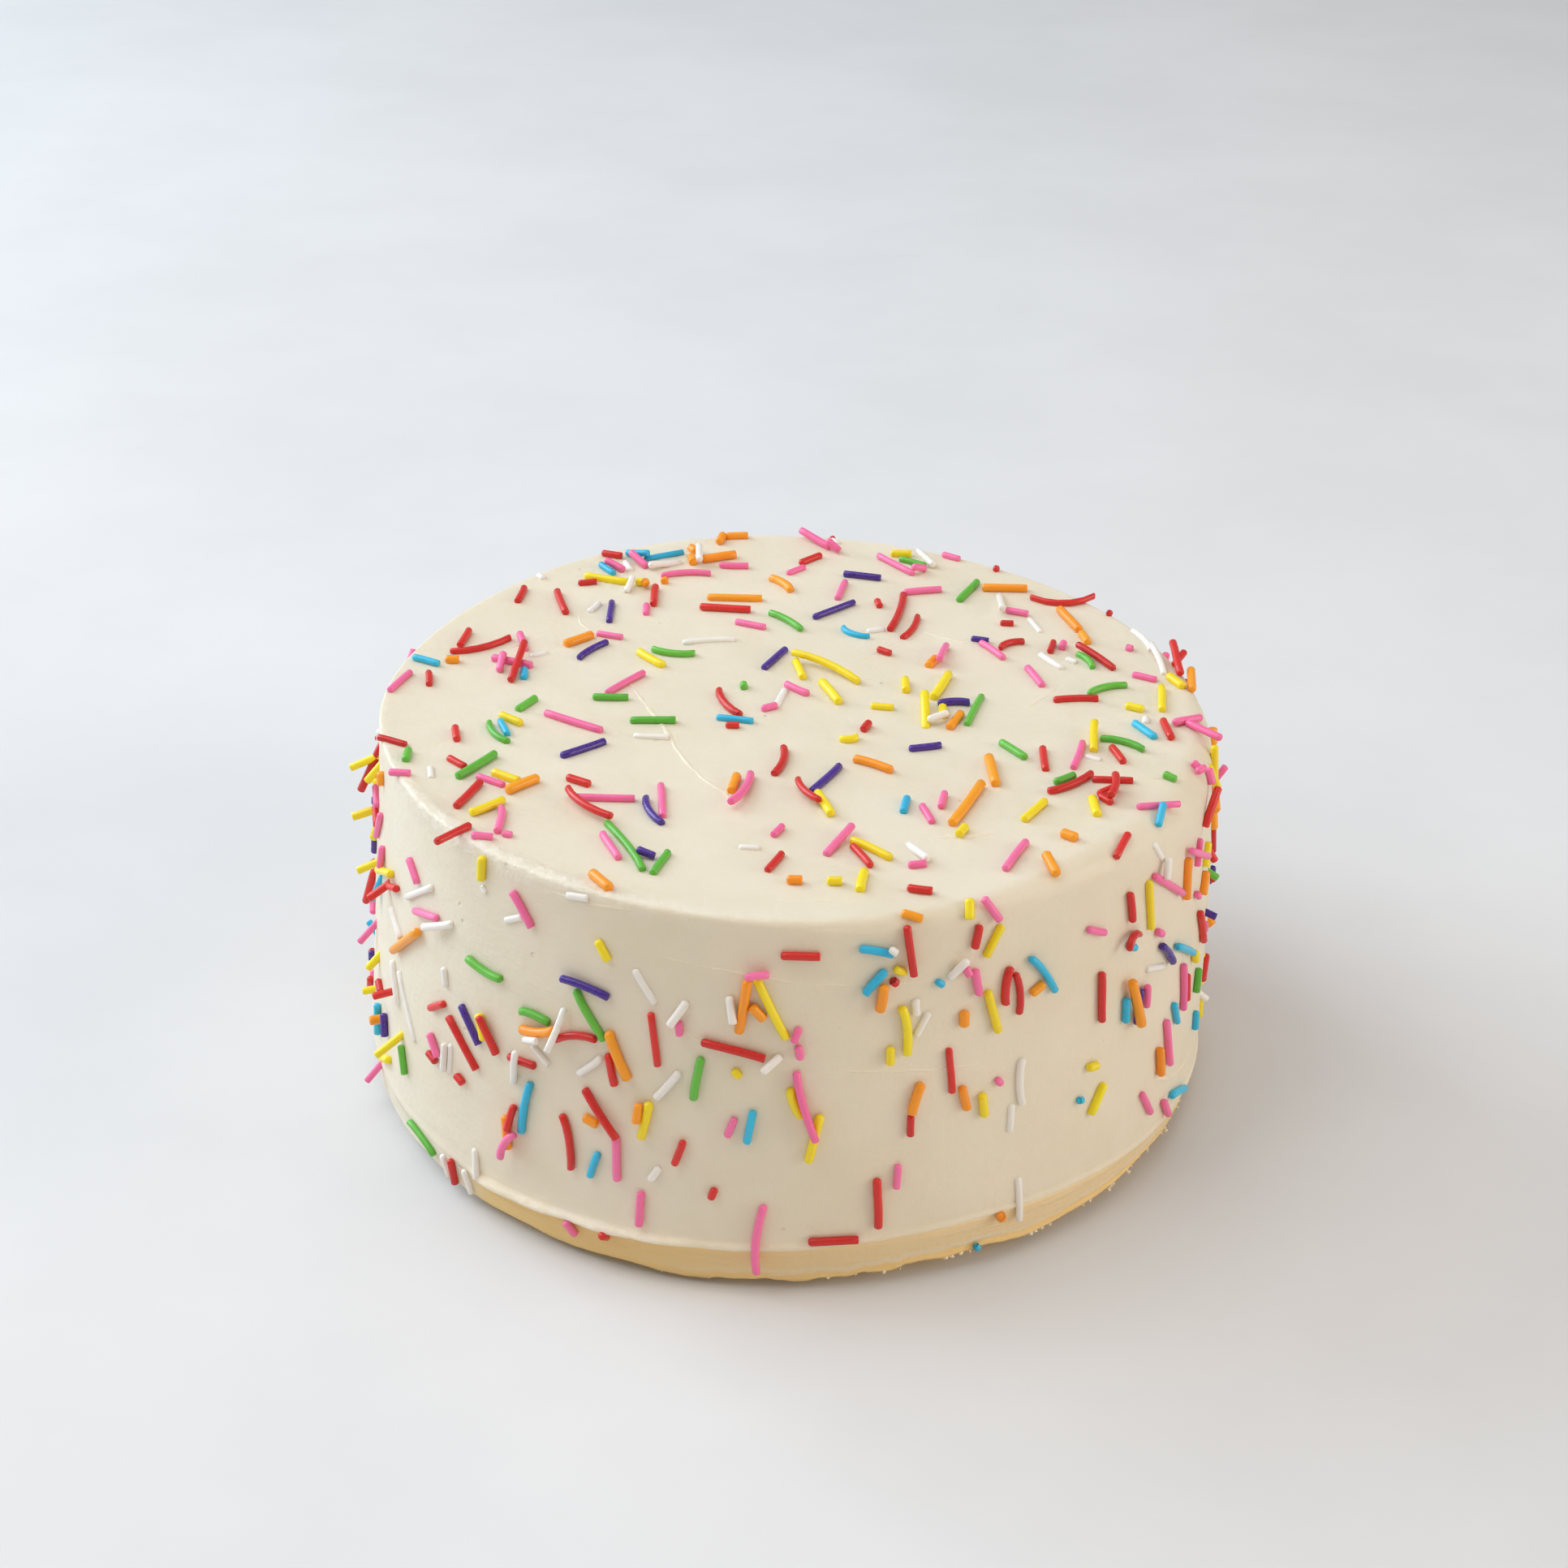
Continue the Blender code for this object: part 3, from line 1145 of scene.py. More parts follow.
    def thread_tree(self, material: bpy.types.Material) -> GeometryTree:
        """Tree that turns lines on the surface into thin ridges that taper at both ends.

        Args:
            material: Finish of the frosting.

        Returns:
            The tree, which reads each point's width attribute.
        """
        tree = GeometryTree("frosting_threads", {"Thinnest": 0.66, "Material": material})
        curve = tree.out("GeometryNodeMeshToCurve", {0: tree.given("Geometry")})
        sharing = tree.add("GeometryNodeSplineParameter").outputs["Factor"]
        taper = tree.calc("POWER", tree.calc("SINE", tree.times(sharing, math.pi)), 0.5)
        place = tree.out("GeometryNodeInputPosition")
        uneven = tree.ramp(tree.noise(place, 260.0, 2.0), 0.3, 0.7, tree.given("Thinnest"), 1.05)
        radius = tree.times(tree.times(taper, uneven), tree.attribute("width"))
        sized = tree.out("GeometryNodeSetCurveRadius", {"Curve": curve, "Radius": radius})
        circle = tree.out("GeometryNodeCurvePrimitiveCircle", {"Resolution": 10, "Radius": 1.0})
        tree.end(tree.out("GeometryNodeCurveToMesh", {
            "Curve": sized, "Profile Curve": circle,
            "Scale": tree.out("GeometryNodeInputRadius"), "Fill Caps": True}))
        return tree

    def build_threads(self, surface: Surface, material: bpy.types.Material) -> bpy.types.Object:
        """Lay the thin raised lines on the skin.

        Args:
            surface: The skin.
            material: Finish of the frosting.

        Returns:
            One object that holds every thread.
        """
        points: list[Vector] = []
        edges: list[tuple[int, int]] = []
        widths: list[float] = []
        wobble = random.Random(self.thread_seed)
        for thread in self.threads:
            route = rounded_route(thread.path, THREAD_STEPS[thread.face])
            for count, place in enumerate(route):
                first, second = (value + wobble.uniform(-self.thread_wobble, self.thread_wobble)
                                 for value in place)
                hit = surface.at(thread.face, first, second)
                if hit is None:
                    continue
                if count:
                    edges.append((len(points) - 1, len(points)))
                points.append(hit[0] - hit[1] * (self.thread_depth * thread.radius))
                widths.append(thread.radius)
        mesh = new_mesh("threads", points, edges)
        set_marks(mesh, {"width": widths})
        return self.thread_tree(material).apply(new_object("threads", mesh))

    def crumb_tree(self, material: bpy.types.Material, grain: bpy.types.Object) -> GeometryTree:
        """Tree that hangs crumbs of frosting on the torn lower edge.

        Args:
            material: Finish of the frosting.
            grain: One crumb of unit size.

        Returns:
            The tree, with the crumbs' share and size as inputs and a fixed seed.
        """
        tree = GeometryTree("frosting_crumbs", {
            "Share": 0.24, "Smallest": 0.00022, "Largest": 0.00074, "Seed": 5,
            "Crumb": grain, "Material": material})
        seed = tree.given("Seed")
        chance = tree.add("FunctionNodeRandomValue", {
            "Probability": tree.given("Share"), "Seed": seed}, data_type="BOOLEAN")
        size = tree.add("FunctionNodeRandomValue", {
            2: tree.given("Smallest"), 3: tree.given("Largest"), "Seed": seed}, data_type="FLOAT")
        turn = tree.out("FunctionNodeRandomValue", {
            0: (0.0, 0.0, 0.0), 1: (6.28, 6.28, 6.28), "Seed": seed}, data_type="FLOAT_VECTOR")
        tree.end(tree.sown("Crumb", {
            "Selection": chance.outputs[3], "Rotation": turn, "Scale": size.outputs[1]}))
        return tree

    def build_crumbs(self, material: bpy.types.Material) -> bpy.types.Object:
        """Make the crumbs along the lower edge.

        Args:
            material: Finish of the frosting.

        Returns:
            One object that holds every crumb.
        """
        dice = random.Random(self.crumb_seed)
        spots = []
        for step in range(self.crumb_places):
            angle = 2 * math.pi * (step + dice.random()) / self.crumb_places
            edge = max(self.crumb_lowest, float(self.shape.skirt_height(np.array(angle))))
            radius = self.shape.skirt_radius - dice.uniform(*self.crumb_inset)
            spot = self.shape.placed(np.array(angle), radius, edge + self.crumb_lift)
            spots.append(tuple(spot))
        grain = new_object("crumb", crumb_mesh())
        crumbs = new_object("crumbs", new_mesh("crumbs", spots))
        crumbs = self.crumb_tree(material, grain).apply(crumbs)
        bpy.data.objects.remove(grain)
        return crumbs

    def build(self) -> bpy.types.Object:
        """Build and dress the frosting.

        Returns:
            The finished piece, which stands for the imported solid.
        """
        material = self.finish.material()
        points, faces = self.skin()
        marks = self.marks(points)
        middle = (points.min(axis=0) + points.max(axis=0)) / 2
        centre = sum(CAD_BOX, Vector()) / 2
        points = points + np.array([centre.x - middle[0], centre.y - middle[1], 0.0])
        mesh = new_mesh("frosting", points.tolist(), (), faces)
        set_marks(mesh, marks)
        mesh.shade_smooth()
        piece = self.relief_tree(material).apply(new_object("frosting", mesh))
        extras = [self.build_threads(Surface(piece.data), material), self.build_crumbs(material)]
        for extra in extras:
            extra.data.shade_smooth()
        join(piece, extras)
        return piece


def rounded_route(path: Sequence[Pair], step: float) -> list[Pair]:
    """Points at even steps along a smooth curve through a few given ones.

    Args:
        path: The given points.
        step: Distance between the new points, in the units of the path.

    Returns:
        The new points.
    """
    ends = [path[0], *path, path[-1]]
    route: list[Pair] = []
    for before, start, stop, after in zip(ends, ends[1:], ends[2:], ends[3:]):
        count = max(2, round(math.dist(start, stop) / step))
        for part in range(count):
            t = part / count
            weights = (-t + 2 * t * t - t ** 3, 2 - 5 * t * t + 3 * t ** 3,
                       t + 4 * t * t - 3 * t ** 3, -t * t + t ** 3)
            corners = (before, start, stop, after)
            route.append(tuple(
                sum(w * corner[axis] for w, corner in zip(weights, corners)) / 2
                for axis in (0, 1)))
    return [*route, tuple(path[-1])]


def crumb_mesh() -> bpy.types.Mesh:
    """Make a small uneven crumb of unit size.

    Returns:
        The mesh, an octahedron with its corners pulled about.
    """
    corners = [(1.0, 0.1, 0.0), (-0.9, 0.0, 0.15), (0.1, 0.85, 0.1), (0.0, -1.0, -0.1),
               (0.1, 0.0, 0.8), (-0.1, 0.1, -0.75)]
    faces = [(0, 2, 4), (2, 1, 4), (1, 3, 4), (3, 0, 4), (2, 0, 5), (1, 2, 5), (3, 1, 5), (0, 3, 5)]
    return new_mesh("crumb", corners, (), faces)


def join(piece: bpy.types.Object, others: list[bpy.types.Object]) -> None:
    """Join other objects into a piece, which stays."""
    with bpy.context.temp_override(active_object=piece, selected_editable_objects=[piece, *others]):
        bpy.ops.object.join()


@dataclass
class Sprinkle:
    """One sugar sprinkle where it lies."""

    hue: Hue
    middle: Vector
    along: Vector
    across: Vector
    length: float
    thickness: float
    bend: float
    sway: float
    tone: float

    @property
    def sizes(self) -> Vector:
        """Length, radius and bend, as its tree takes them."""
        return Vector((self.length, self.thickness / 2, self.bend))

    def station(self, share: float) -> Vector:
        """Point of the middle line.

        Args:
            share: Where, as a share of the length from -0.5 to 0.5.

        Returns:
            The point.
        """
        turn = 2 * share
        aside = self.bend * (1 - turn * turn) + self.sway * (turn ** 3 - turn)
        return self.middle + self.along * (share * self.length) + self.across * aside


@dataclass(frozen=True)
class Throw:
    """A handful of sprinkles thrown at one place on the side.

    The place and the reach are an angle in degrees and a height in millimetres, and the
    spread is even out to the reach. Standing is the share of them that stands up.
    """

    place: Pair
    reach: Pair
    count: int
    standing: float


class Rod:
    """The shape of a sprinkle: a rod with one rounded end and one broken end.

    Each ring has its place along the rod from 0 to 1, how far on it is moved from there and
    its radius, both as shares of the rod's radius. An end has the first two.
    """

    SIDES = 8
    RINGS = ((0.0, 0.00, 0.62), (0.0, 0.42, 1.00), (0.2, 0.0, 1.00), (0.4, 0.0, 1.00),
             (0.6, 0.0, 1.00), (0.8, 0.0, 1.00), (1.0, -0.22, 1.00), (1.0, 0.0, 0.84))
    ROUND_END = (0.0, -0.12)
    BROKEN_END = (1.0, 0.03)

    def mesh(self) -> bpy.types.Mesh:
        """Make the rod.

        Returns:
            Its mesh, with each point's profile and station as attributes.
        """
        places: list[tuple[float, float, float]] = []
        stations: list[float] = []
        for station, offset, reach in self.RINGS:
            for side in range(self.SIDES):
                turn = 2 * math.pi * side / self.SIDES
                places.append((reach * math.cos(turn), reach * math.sin(turn), offset))
                stations.append(station)
        for station, offset in (self.ROUND_END, self.BROKEN_END):
            places.append((0.0, 0.0, offset))
            stations.append(station)
        first, last = len(places) - 2, len(places) - 1
        top = self.SIDES * (len(self.RINGS) - 1)
        faces: list[tuple[int, ...]] = []
        for side in range(self.SIDES):
            after = (side + 1) % self.SIDES
            faces.append((after, side, first))
            faces.append((top + side, top + after, last))
            for ring in range(len(self.RINGS) - 1):
                low = ring * self.SIDES
                faces.append((low + side, low + after,
                              low + self.SIDES + after, low + self.SIDES + side))
        mesh = new_mesh("rod", places, (), faces)
        set_marks(mesh, {"profile": places, "station": stations})
        mesh.shade_smooth()
        return mesh


@dataclass
class Sprinkling:
    """All sprinkles: laid one by one, then thrown, then laid last, each resting on what is there.

    Attributes:
        thickness: Least and greatest thickness, in millimetres.
        steepest: The steepest slope that one rests at.
        highest_rest: How far above the frosting the middle of a thrown one rests at most.
        longest: The greatest distance between two ends given by hand.
        ceiling: The height that none reaches beyond.
        clearance: The least height of any point of one.
        nesting: How high one lies on another, as a share of the height where they just touch.
        probe: How far above the frosting its height is felt for.
        nearby: How far beyond both half lengths another one is still tried.
        past_end: How far beyond an end another one still carries it.
        gap: The least distance between the middles of a thrown one and any other.
        level_lean: The lean in radians below which one is lifted instead of buried.
        lifted: How far, as a share of its thickness.
        buried: How deep, as a share of its length and at most in metres.
        standing_half: Half the greatest length of a thrown one that stands up.
        sway: Spread of the S-bend, as a share of the length, like both that follow.
        plain_bend: Spread of the bend of one whose row gives none.
        thrown_bend: Spread of the bend of a thrown one.
        thrown_turn: Spread of a thrown one's direction about the upright, in radians.
        thrown_lean: Least and greatest lean of a thrown one that stands up, in radians.
        thrown_heights: Least and greatest height of a thrown one, in millimetres.
    """

    surface: Surface
    seed: int = 41
    thickness: Pair = (1.56, 1.86)
    steepest: float = 0.62
    highest_rest: float = 0.0021
    # longest: The greatest distance between two ends given one by one.
    longest: float = 0.0215
    ceiling: float = 0.0935
    clearance: float = 0.0004
    nesting: float = 0.92
    probe: float = 0.006
    nearby: float = 0.002
    past_end: float = 0.0004
    gap: float = 0.0032
    level_lean: float = 0.2
    lifted: float = 0.4
    buried: Pair = (0.35, 0.0016)
    standing_half: float = 0.0034
    sway: float = 0.007
    plain_bend: float = 0.009
    thrown_bend: float = 0.035
    thrown_turn: float = 0.55
    thrown_lean: Pair = (0.25, 0.8)
    thrown_heights: Pair = (5.0, 86.0)
    lain: list[Sprinkle] = field(default_factory=list)

    # How often each colour is thrown.
    SHARES = {Hue.RED: 24, Hue.PINK: 20, Hue.WHITE: 15, Hue.YELLOW: 13, Hue.ORANGE: 10,
              Hue.GREEN: 8, Hue.BLUE: 5, Hue.PURPLE: 5}
    # How much thicker the sprinkles of a colour are.
    PLUMP = {Hue.ORANGE: 1.22, Hue.YELLOW: 1.12}
    # The share of the thickness that is pressed into the frosting, for white and for others.
    SUNK = {Hue.WHITE: (0.35, 0.66)}
    SUNK_ELSE = (0.05, 0.26)
    # Shares of thrown ones, added up, with their lengths in millimetres: broken, whole, long.
    LENGTHS = ((0.30, (2.2, 4.8)), (0.85, (4.8, 9.5)), (1.0, (9.5, 12.8)))
    # Where along one the frosting below it is felt for, and the number of parts in which the
    # others are tried for whether they carry it.
    FEELERS = tuple(eighth / 8 for eighth in range(-4, 5))
    PARTS = 12
    # Heights closer than this count as the same, in metres.
    TIE = 1e-6
    # Throws for each sprinkle that is to stay on.
    TRIES = 8

    def __post_init__(self) -> None:
        """Start the dice."""
        self.dice = random.Random(self.seed)

    def resting(self, contacts: list[Pair]) -> Pair:
        """Lowest straight line that clears every contact.

        Args:
            contacts: Place along the sprinkle and least height there.

        Returns:
            The line's height in the middle and its slope.
        """
        best = (-1.0, 0.0)
        for near, low in contacts:
            for far, high in contacts:
                if near > 0 or far <= 0:
                    continue
                slope = (high - low) / (far - near)
                height = low - near * slope
                tie = abs(height - best[0]) < self.TIE and abs(slope) < abs(best[1])
                if height > best[0] + self.TIE or tie:
                    best = (height, slope)
        return best if best[0] > -0.5 else (max(high for _, high in contacts), 0.0)

    def contacts(self, middle: Vector, along: Vector, up: Vector, length: float,
                 thickness: float, sunk: float) -> list[Pair]:
        """What a sprinkle would rest on: the frosting below and the sprinkles it crosses.

        Args:
            middle: Its middle, on the frosting.
            along: Its direction.
            up: The direction away from the cake, square to it.
            length: Its length.
            thickness: Its thickness.
            sunk: Share of the thickness that is pressed into the frosting.

        Returns:
            Place along it and least height of its middle line, for each contact.
        """
        found = []
        for share in self.FEELERS:
            hit = self.surface.hit(middle + along * (share * length) + up * self.probe, -up)
            if hit is not None:
                height = (hit[0] - middle).dot(up)
                found.append((share * length, height + thickness * (0.5 - sunk)))
        across = up.cross(along)
        for other in self.lain:
            if (other.middle - middle).length > (other.length + length) / 2 + self.nearby:
                continue
            apart = (other.thickness + thickness) / 2
            for part in range(self.PARTS + 1):
                away = other.station((part - self.PARTS // 2) / self.PARTS) - middle
                place, aside = away.dot(along), away.dot(across)
                if abs(aside) < apart and abs(place) < length / 2 + self.past_end:
                    rise = self.nesting * math.sqrt(apart * apart - aside * aside)
                    found.append((max(-length / 2, min(length / 2, place)), away.dot(up) + rise))
        return found

    def lay(self, hue: Hue, ends: tuple[Vector, Vector], normal: Vector, bend: float = 0.0,
            lean: float = 0.0, forced: bool = False) -> bool:
        """Rest one sprinkle on the cake.

        Args:
            hue: Its colour.
            ends: Where its ends come down on the frosting.
            normal: The frosting's normal between them.
            bend: Its bend as a share of its length.
            lean: How far it stands up from the surface, in radians.
            forced: Whether it is laid even where it comes to lie steeply.

        Returns:
            Whether it was laid.
        """
        dice = self.dice
        middle = (ends[0] + ends[1]) / 2
        length = (ends[1] - ends[0]).length
        along = (ends[1] - ends[0]).normalized()
        up = (normal - along * normal.dot(along)).normalized()
        thickness = dice.uniform(*self.thickness) * MM * self.PLUMP.get(hue, 1.0)
        sunk = dice.uniform(*self.SUNK.get(hue, self.SUNK_ELSE))
        contacts = self.contacts(middle, along, up, length, thickness, sunk)
        height, slope = self.resting(contacts)
        if not forced and (abs(slope) > self.steepest or height > self.highest_rest):
            return False
        slope = max(-self.steepest, min(self.steepest, slope))
        across = up.cross(along)
        if lean:
            level = lean < self.level_lean
            buried = 0.0 if level else min(self.buried[0] * length, self.buried[1])
            lifted = self.lifted * thickness if level else 0.0
            foot = middle - along * (length / 2) + up * lifted
            along = (along * math.cos(lean) + up * math.sin(lean)).normalized()
            middle = foot + along * (length / 2 - buried)
        else:
            middle = middle + up * height
            along = (along + up * slope).normalized()
        highest = middle.z + abs(along.z) * length / 2 + thickness / 2
        if highest > self.ceiling:
            if not forced:
                return False
            middle = middle - Vector((0, 0, highest - self.ceiling))
        lowest = middle.z - abs(along.z) * length / 2 - thickness / 2
        middle = middle + Vector((0, 0, max(0.0, self.clearance - lowest)))
        sway = dice.gauss(0.0, self.sway) * length
        self.lain.append(Sprinkle(hue, middle, along, across, length, thickness,
                                  bend * length, sway, dice.random()))
        return True

    def lay_by_hand(self, face: Face, hue: Hue, row: Sequence[float]) -> None:
        """Lay one sprinkle between two given places.

        Args:
            face: The face that it lies on.
            hue: Its colour.
            row: Both places, and then its bend and its lean where it has them.
        """
        start, stop = self.surface.at(face, *row[0:2]), self.surface.at(face, *row[2:4])
        if start is None or stop is None or (start[0] - stop[0]).length > self.longest:
            LOG.warning("a %s sprinkle misses the cake at %s", hue.value, row)
            return
        bend = row[4] if len(row) > 4 else self.dice.gauss(0.0, self.plain_bend)
        lean = row[5] if len(row) > 5 else 0.0
        if lean and face is Face.TOP:
            stop = Vector((row[2] * MM, row[3] * MM, start[0].z)), start[1]
        normal = (start[1] + stop[1]).normalized()
        self.lay(hue, (start[0], stop[0]), normal, bend, lean, forced=True)

    def throw_length(self) -> float:
        """Length of a thrown sprinkle, which is a broken bit, a whole one or a long one.

        Returns:
            The length in millimetres.
        """
        kind = self.dice.random()
        span = next(span for share, span in self.LENGTHS if kind < share)
        return self.dice.uniform(*span)

    def throw(self, handful: Throw) -> int:
        """Throw a handful of sprinkles.

        Args:
            handful: Where and how many.

        Returns:
            How many stayed on.
        """
        dice = self.dice
        lowest, highest = self.thrown_heights
        stayed = 0
        for _ in range(handful.count * self.TRIES):
            if stayed == handful.count:
                break
            reach, turn = math.sqrt(dice.random()), dice.uniform(0, 2 * math.pi)
            angle = handful.place[0] + handful.reach[0] * reach * math.cos(turn)
            height = handful.place[1] + handful.reach[1] * reach * math.sin(turn)
            if lowest < height < highest:
                hue = dice.choices(list(self.SHARES), list(self.SHARES.values()))[0]
                stayed += self.land(hue, angle, height, handful.standing)
        return stayed

    def land(self, hue: Hue, angle: float, height: float, standing: float) -> bool:
        """Let one thrown sprinkle come down.

        Args:
            hue: Its colour.
            angle: Angle of its middle, in degrees.
            height: Height of its middle, in millimetres.
            standing: The chance that it stands up.

        Returns:
            Whether it stayed on.
        """
        dice = self.dice
        hit = self.surface.at(Face.SIDE, angle, height)
        if hit is None:
            return False
        place, normal = hit
        level = Vector((0, 0, 1)).cross(normal)
        if level.length < 0.2:
            level = Vector((1, 0, 0)).cross(normal)
        level.normalize()
        upward = normal.cross(level).normalized()
        dice.random()  # The draws that follow depend on this one, whose value is not used.
        turn = math.pi / 2 + dice.gauss(0.0, self.thrown_turn)
        direction = level * math.cos(turn) + upward * math.sin(turn)
        if dice.random() < 0.5:
            direction.negate()
        half = direction * (self.throw_length() * MM / 2)
        bend = dice.choice((-1, 1)) * abs(dice.gauss(0.0, self.thrown_bend))
        lean = dice.uniform(*self.thrown_lean) if dice.random() < standing else 0.0
        if lean:
            half = half * min(1.0, self.standing_half / half.length)
        if any((other.middle - place).length < self.gap for other in self.lain):
            return False
        return self.lay(hue, (place - half, place + half), normal, bend, lean)

    def rod_tree(self, rod: bpy.types.Object, material: bpy.types.Material) -> GeometryTree:
        """Tree that grows a rod at each point, bent and sized by the point's attributes.

        Args:
            rod: The shape of a sprinkle.
            material: Finish of this colour.

        Returns:
            The tree.
        """
        tree = GeometryTree("sprinkle_rods", {"Rod": rod, "Material": material})
        rods = tree.out("GeometryNodeRealizeInstances", {0: tree.sown("Rod", {})})
        profile, sizes, along, across, middle = (
            tree.attribute(label, "FLOAT_VECTOR")
            for label in ("profile", "sizes", "along", "across", "middle"))
        sideways, upwards, onwards = tree.add("ShaderNodeSeparateXYZ", {0: profile}).outputs
        length, radius, bend = tree.add("ShaderNodeSeparateXYZ", {0: sizes}).outputs
        station = tree.minus(tree.attribute("station"), 0.5)
        turn = tree.times(station, 2.0)
        square = tree.times(turn, turn)
        arch = tree.times(bend, tree.minus(1.0, square))
        cube = tree.minus(tree.times(square, turn), turn)
        aside = tree.plus(arch, tree.times(tree.attribute("sway"), cube))
        ahead = tree.added(onwards, radius, tree.times(station, length))
        aside = tree.added(sideways, radius, aside)
        upward = tree.times(upwards, radius)
        place = tree.vector("ADD", middle, tree.scaled(along, ahead))
        place = tree.vector("ADD", place, tree.scaled(across, aside))
        square_to = tree.vector("CROSS_PRODUCT", along, across)
        place = tree.vector("ADD", place, tree.scaled(square_to, upward))
        tree.end(tree.out("GeometryNodeSetPosition", {"Geometry": rods, "Position": place}))
        return tree

    def build_hue(self, hue: Hue, rod: bpy.types.Object) -> bpy.types.Object:
        """Make the piece that holds every sprinkle of one colour.

        Args:
            hue: The colour.
            rod: The shape of a sprinkle.

        Returns:
            The finished piece.
        """
        own = [sprinkle for sprinkle in self.lain if sprinkle.hue is hue]
        name = f"sprinkles_{hue.value}"
        mesh = new_mesh(name, [sprinkle.middle for sprinkle in own])
        set_marks(mesh, {label: [getattr(sprinkle, label) for sprinkle in own]
                         for label in ("middle", "along", "across", "sizes", "sway", "tone")})
        material = SUGAR[hue].material(name)
        piece = self.rod_tree(rod, material).apply(new_object(name, mesh))
        LOG.info("%s: %d sprinkles, %d faces", name, len(own), len(piece.data.polygons))
        return piece

    def build(self) -> list[bpy.types.Object]:
        """Lay, throw and build all sprinkles.

        Returns:
            One finished piece for each colour.
        """
        for face, rows_by_hue in BY_HAND.items():
            for hue, rows in rows_by_hue.items():
                for row in rows:
                    self.lay_by_hand(face, hue, row)
        for handful in THROWN:
            stayed = self.throw(handful)
            LOG.info("thrown at %s: %d", handful.place, stayed)
        for face, hue, row in LAID_LAST:
            self.lay_by_hand(face, hue, row)
        rod = new_object("rod", Rod().mesh())
        pieces = [self.build_hue(hue, rod) for hue in Hue]
        bpy.data.objects.remove(rod)
        return pieces


Rows = dict[Hue, tuple[tuple[float, ...], ...]]
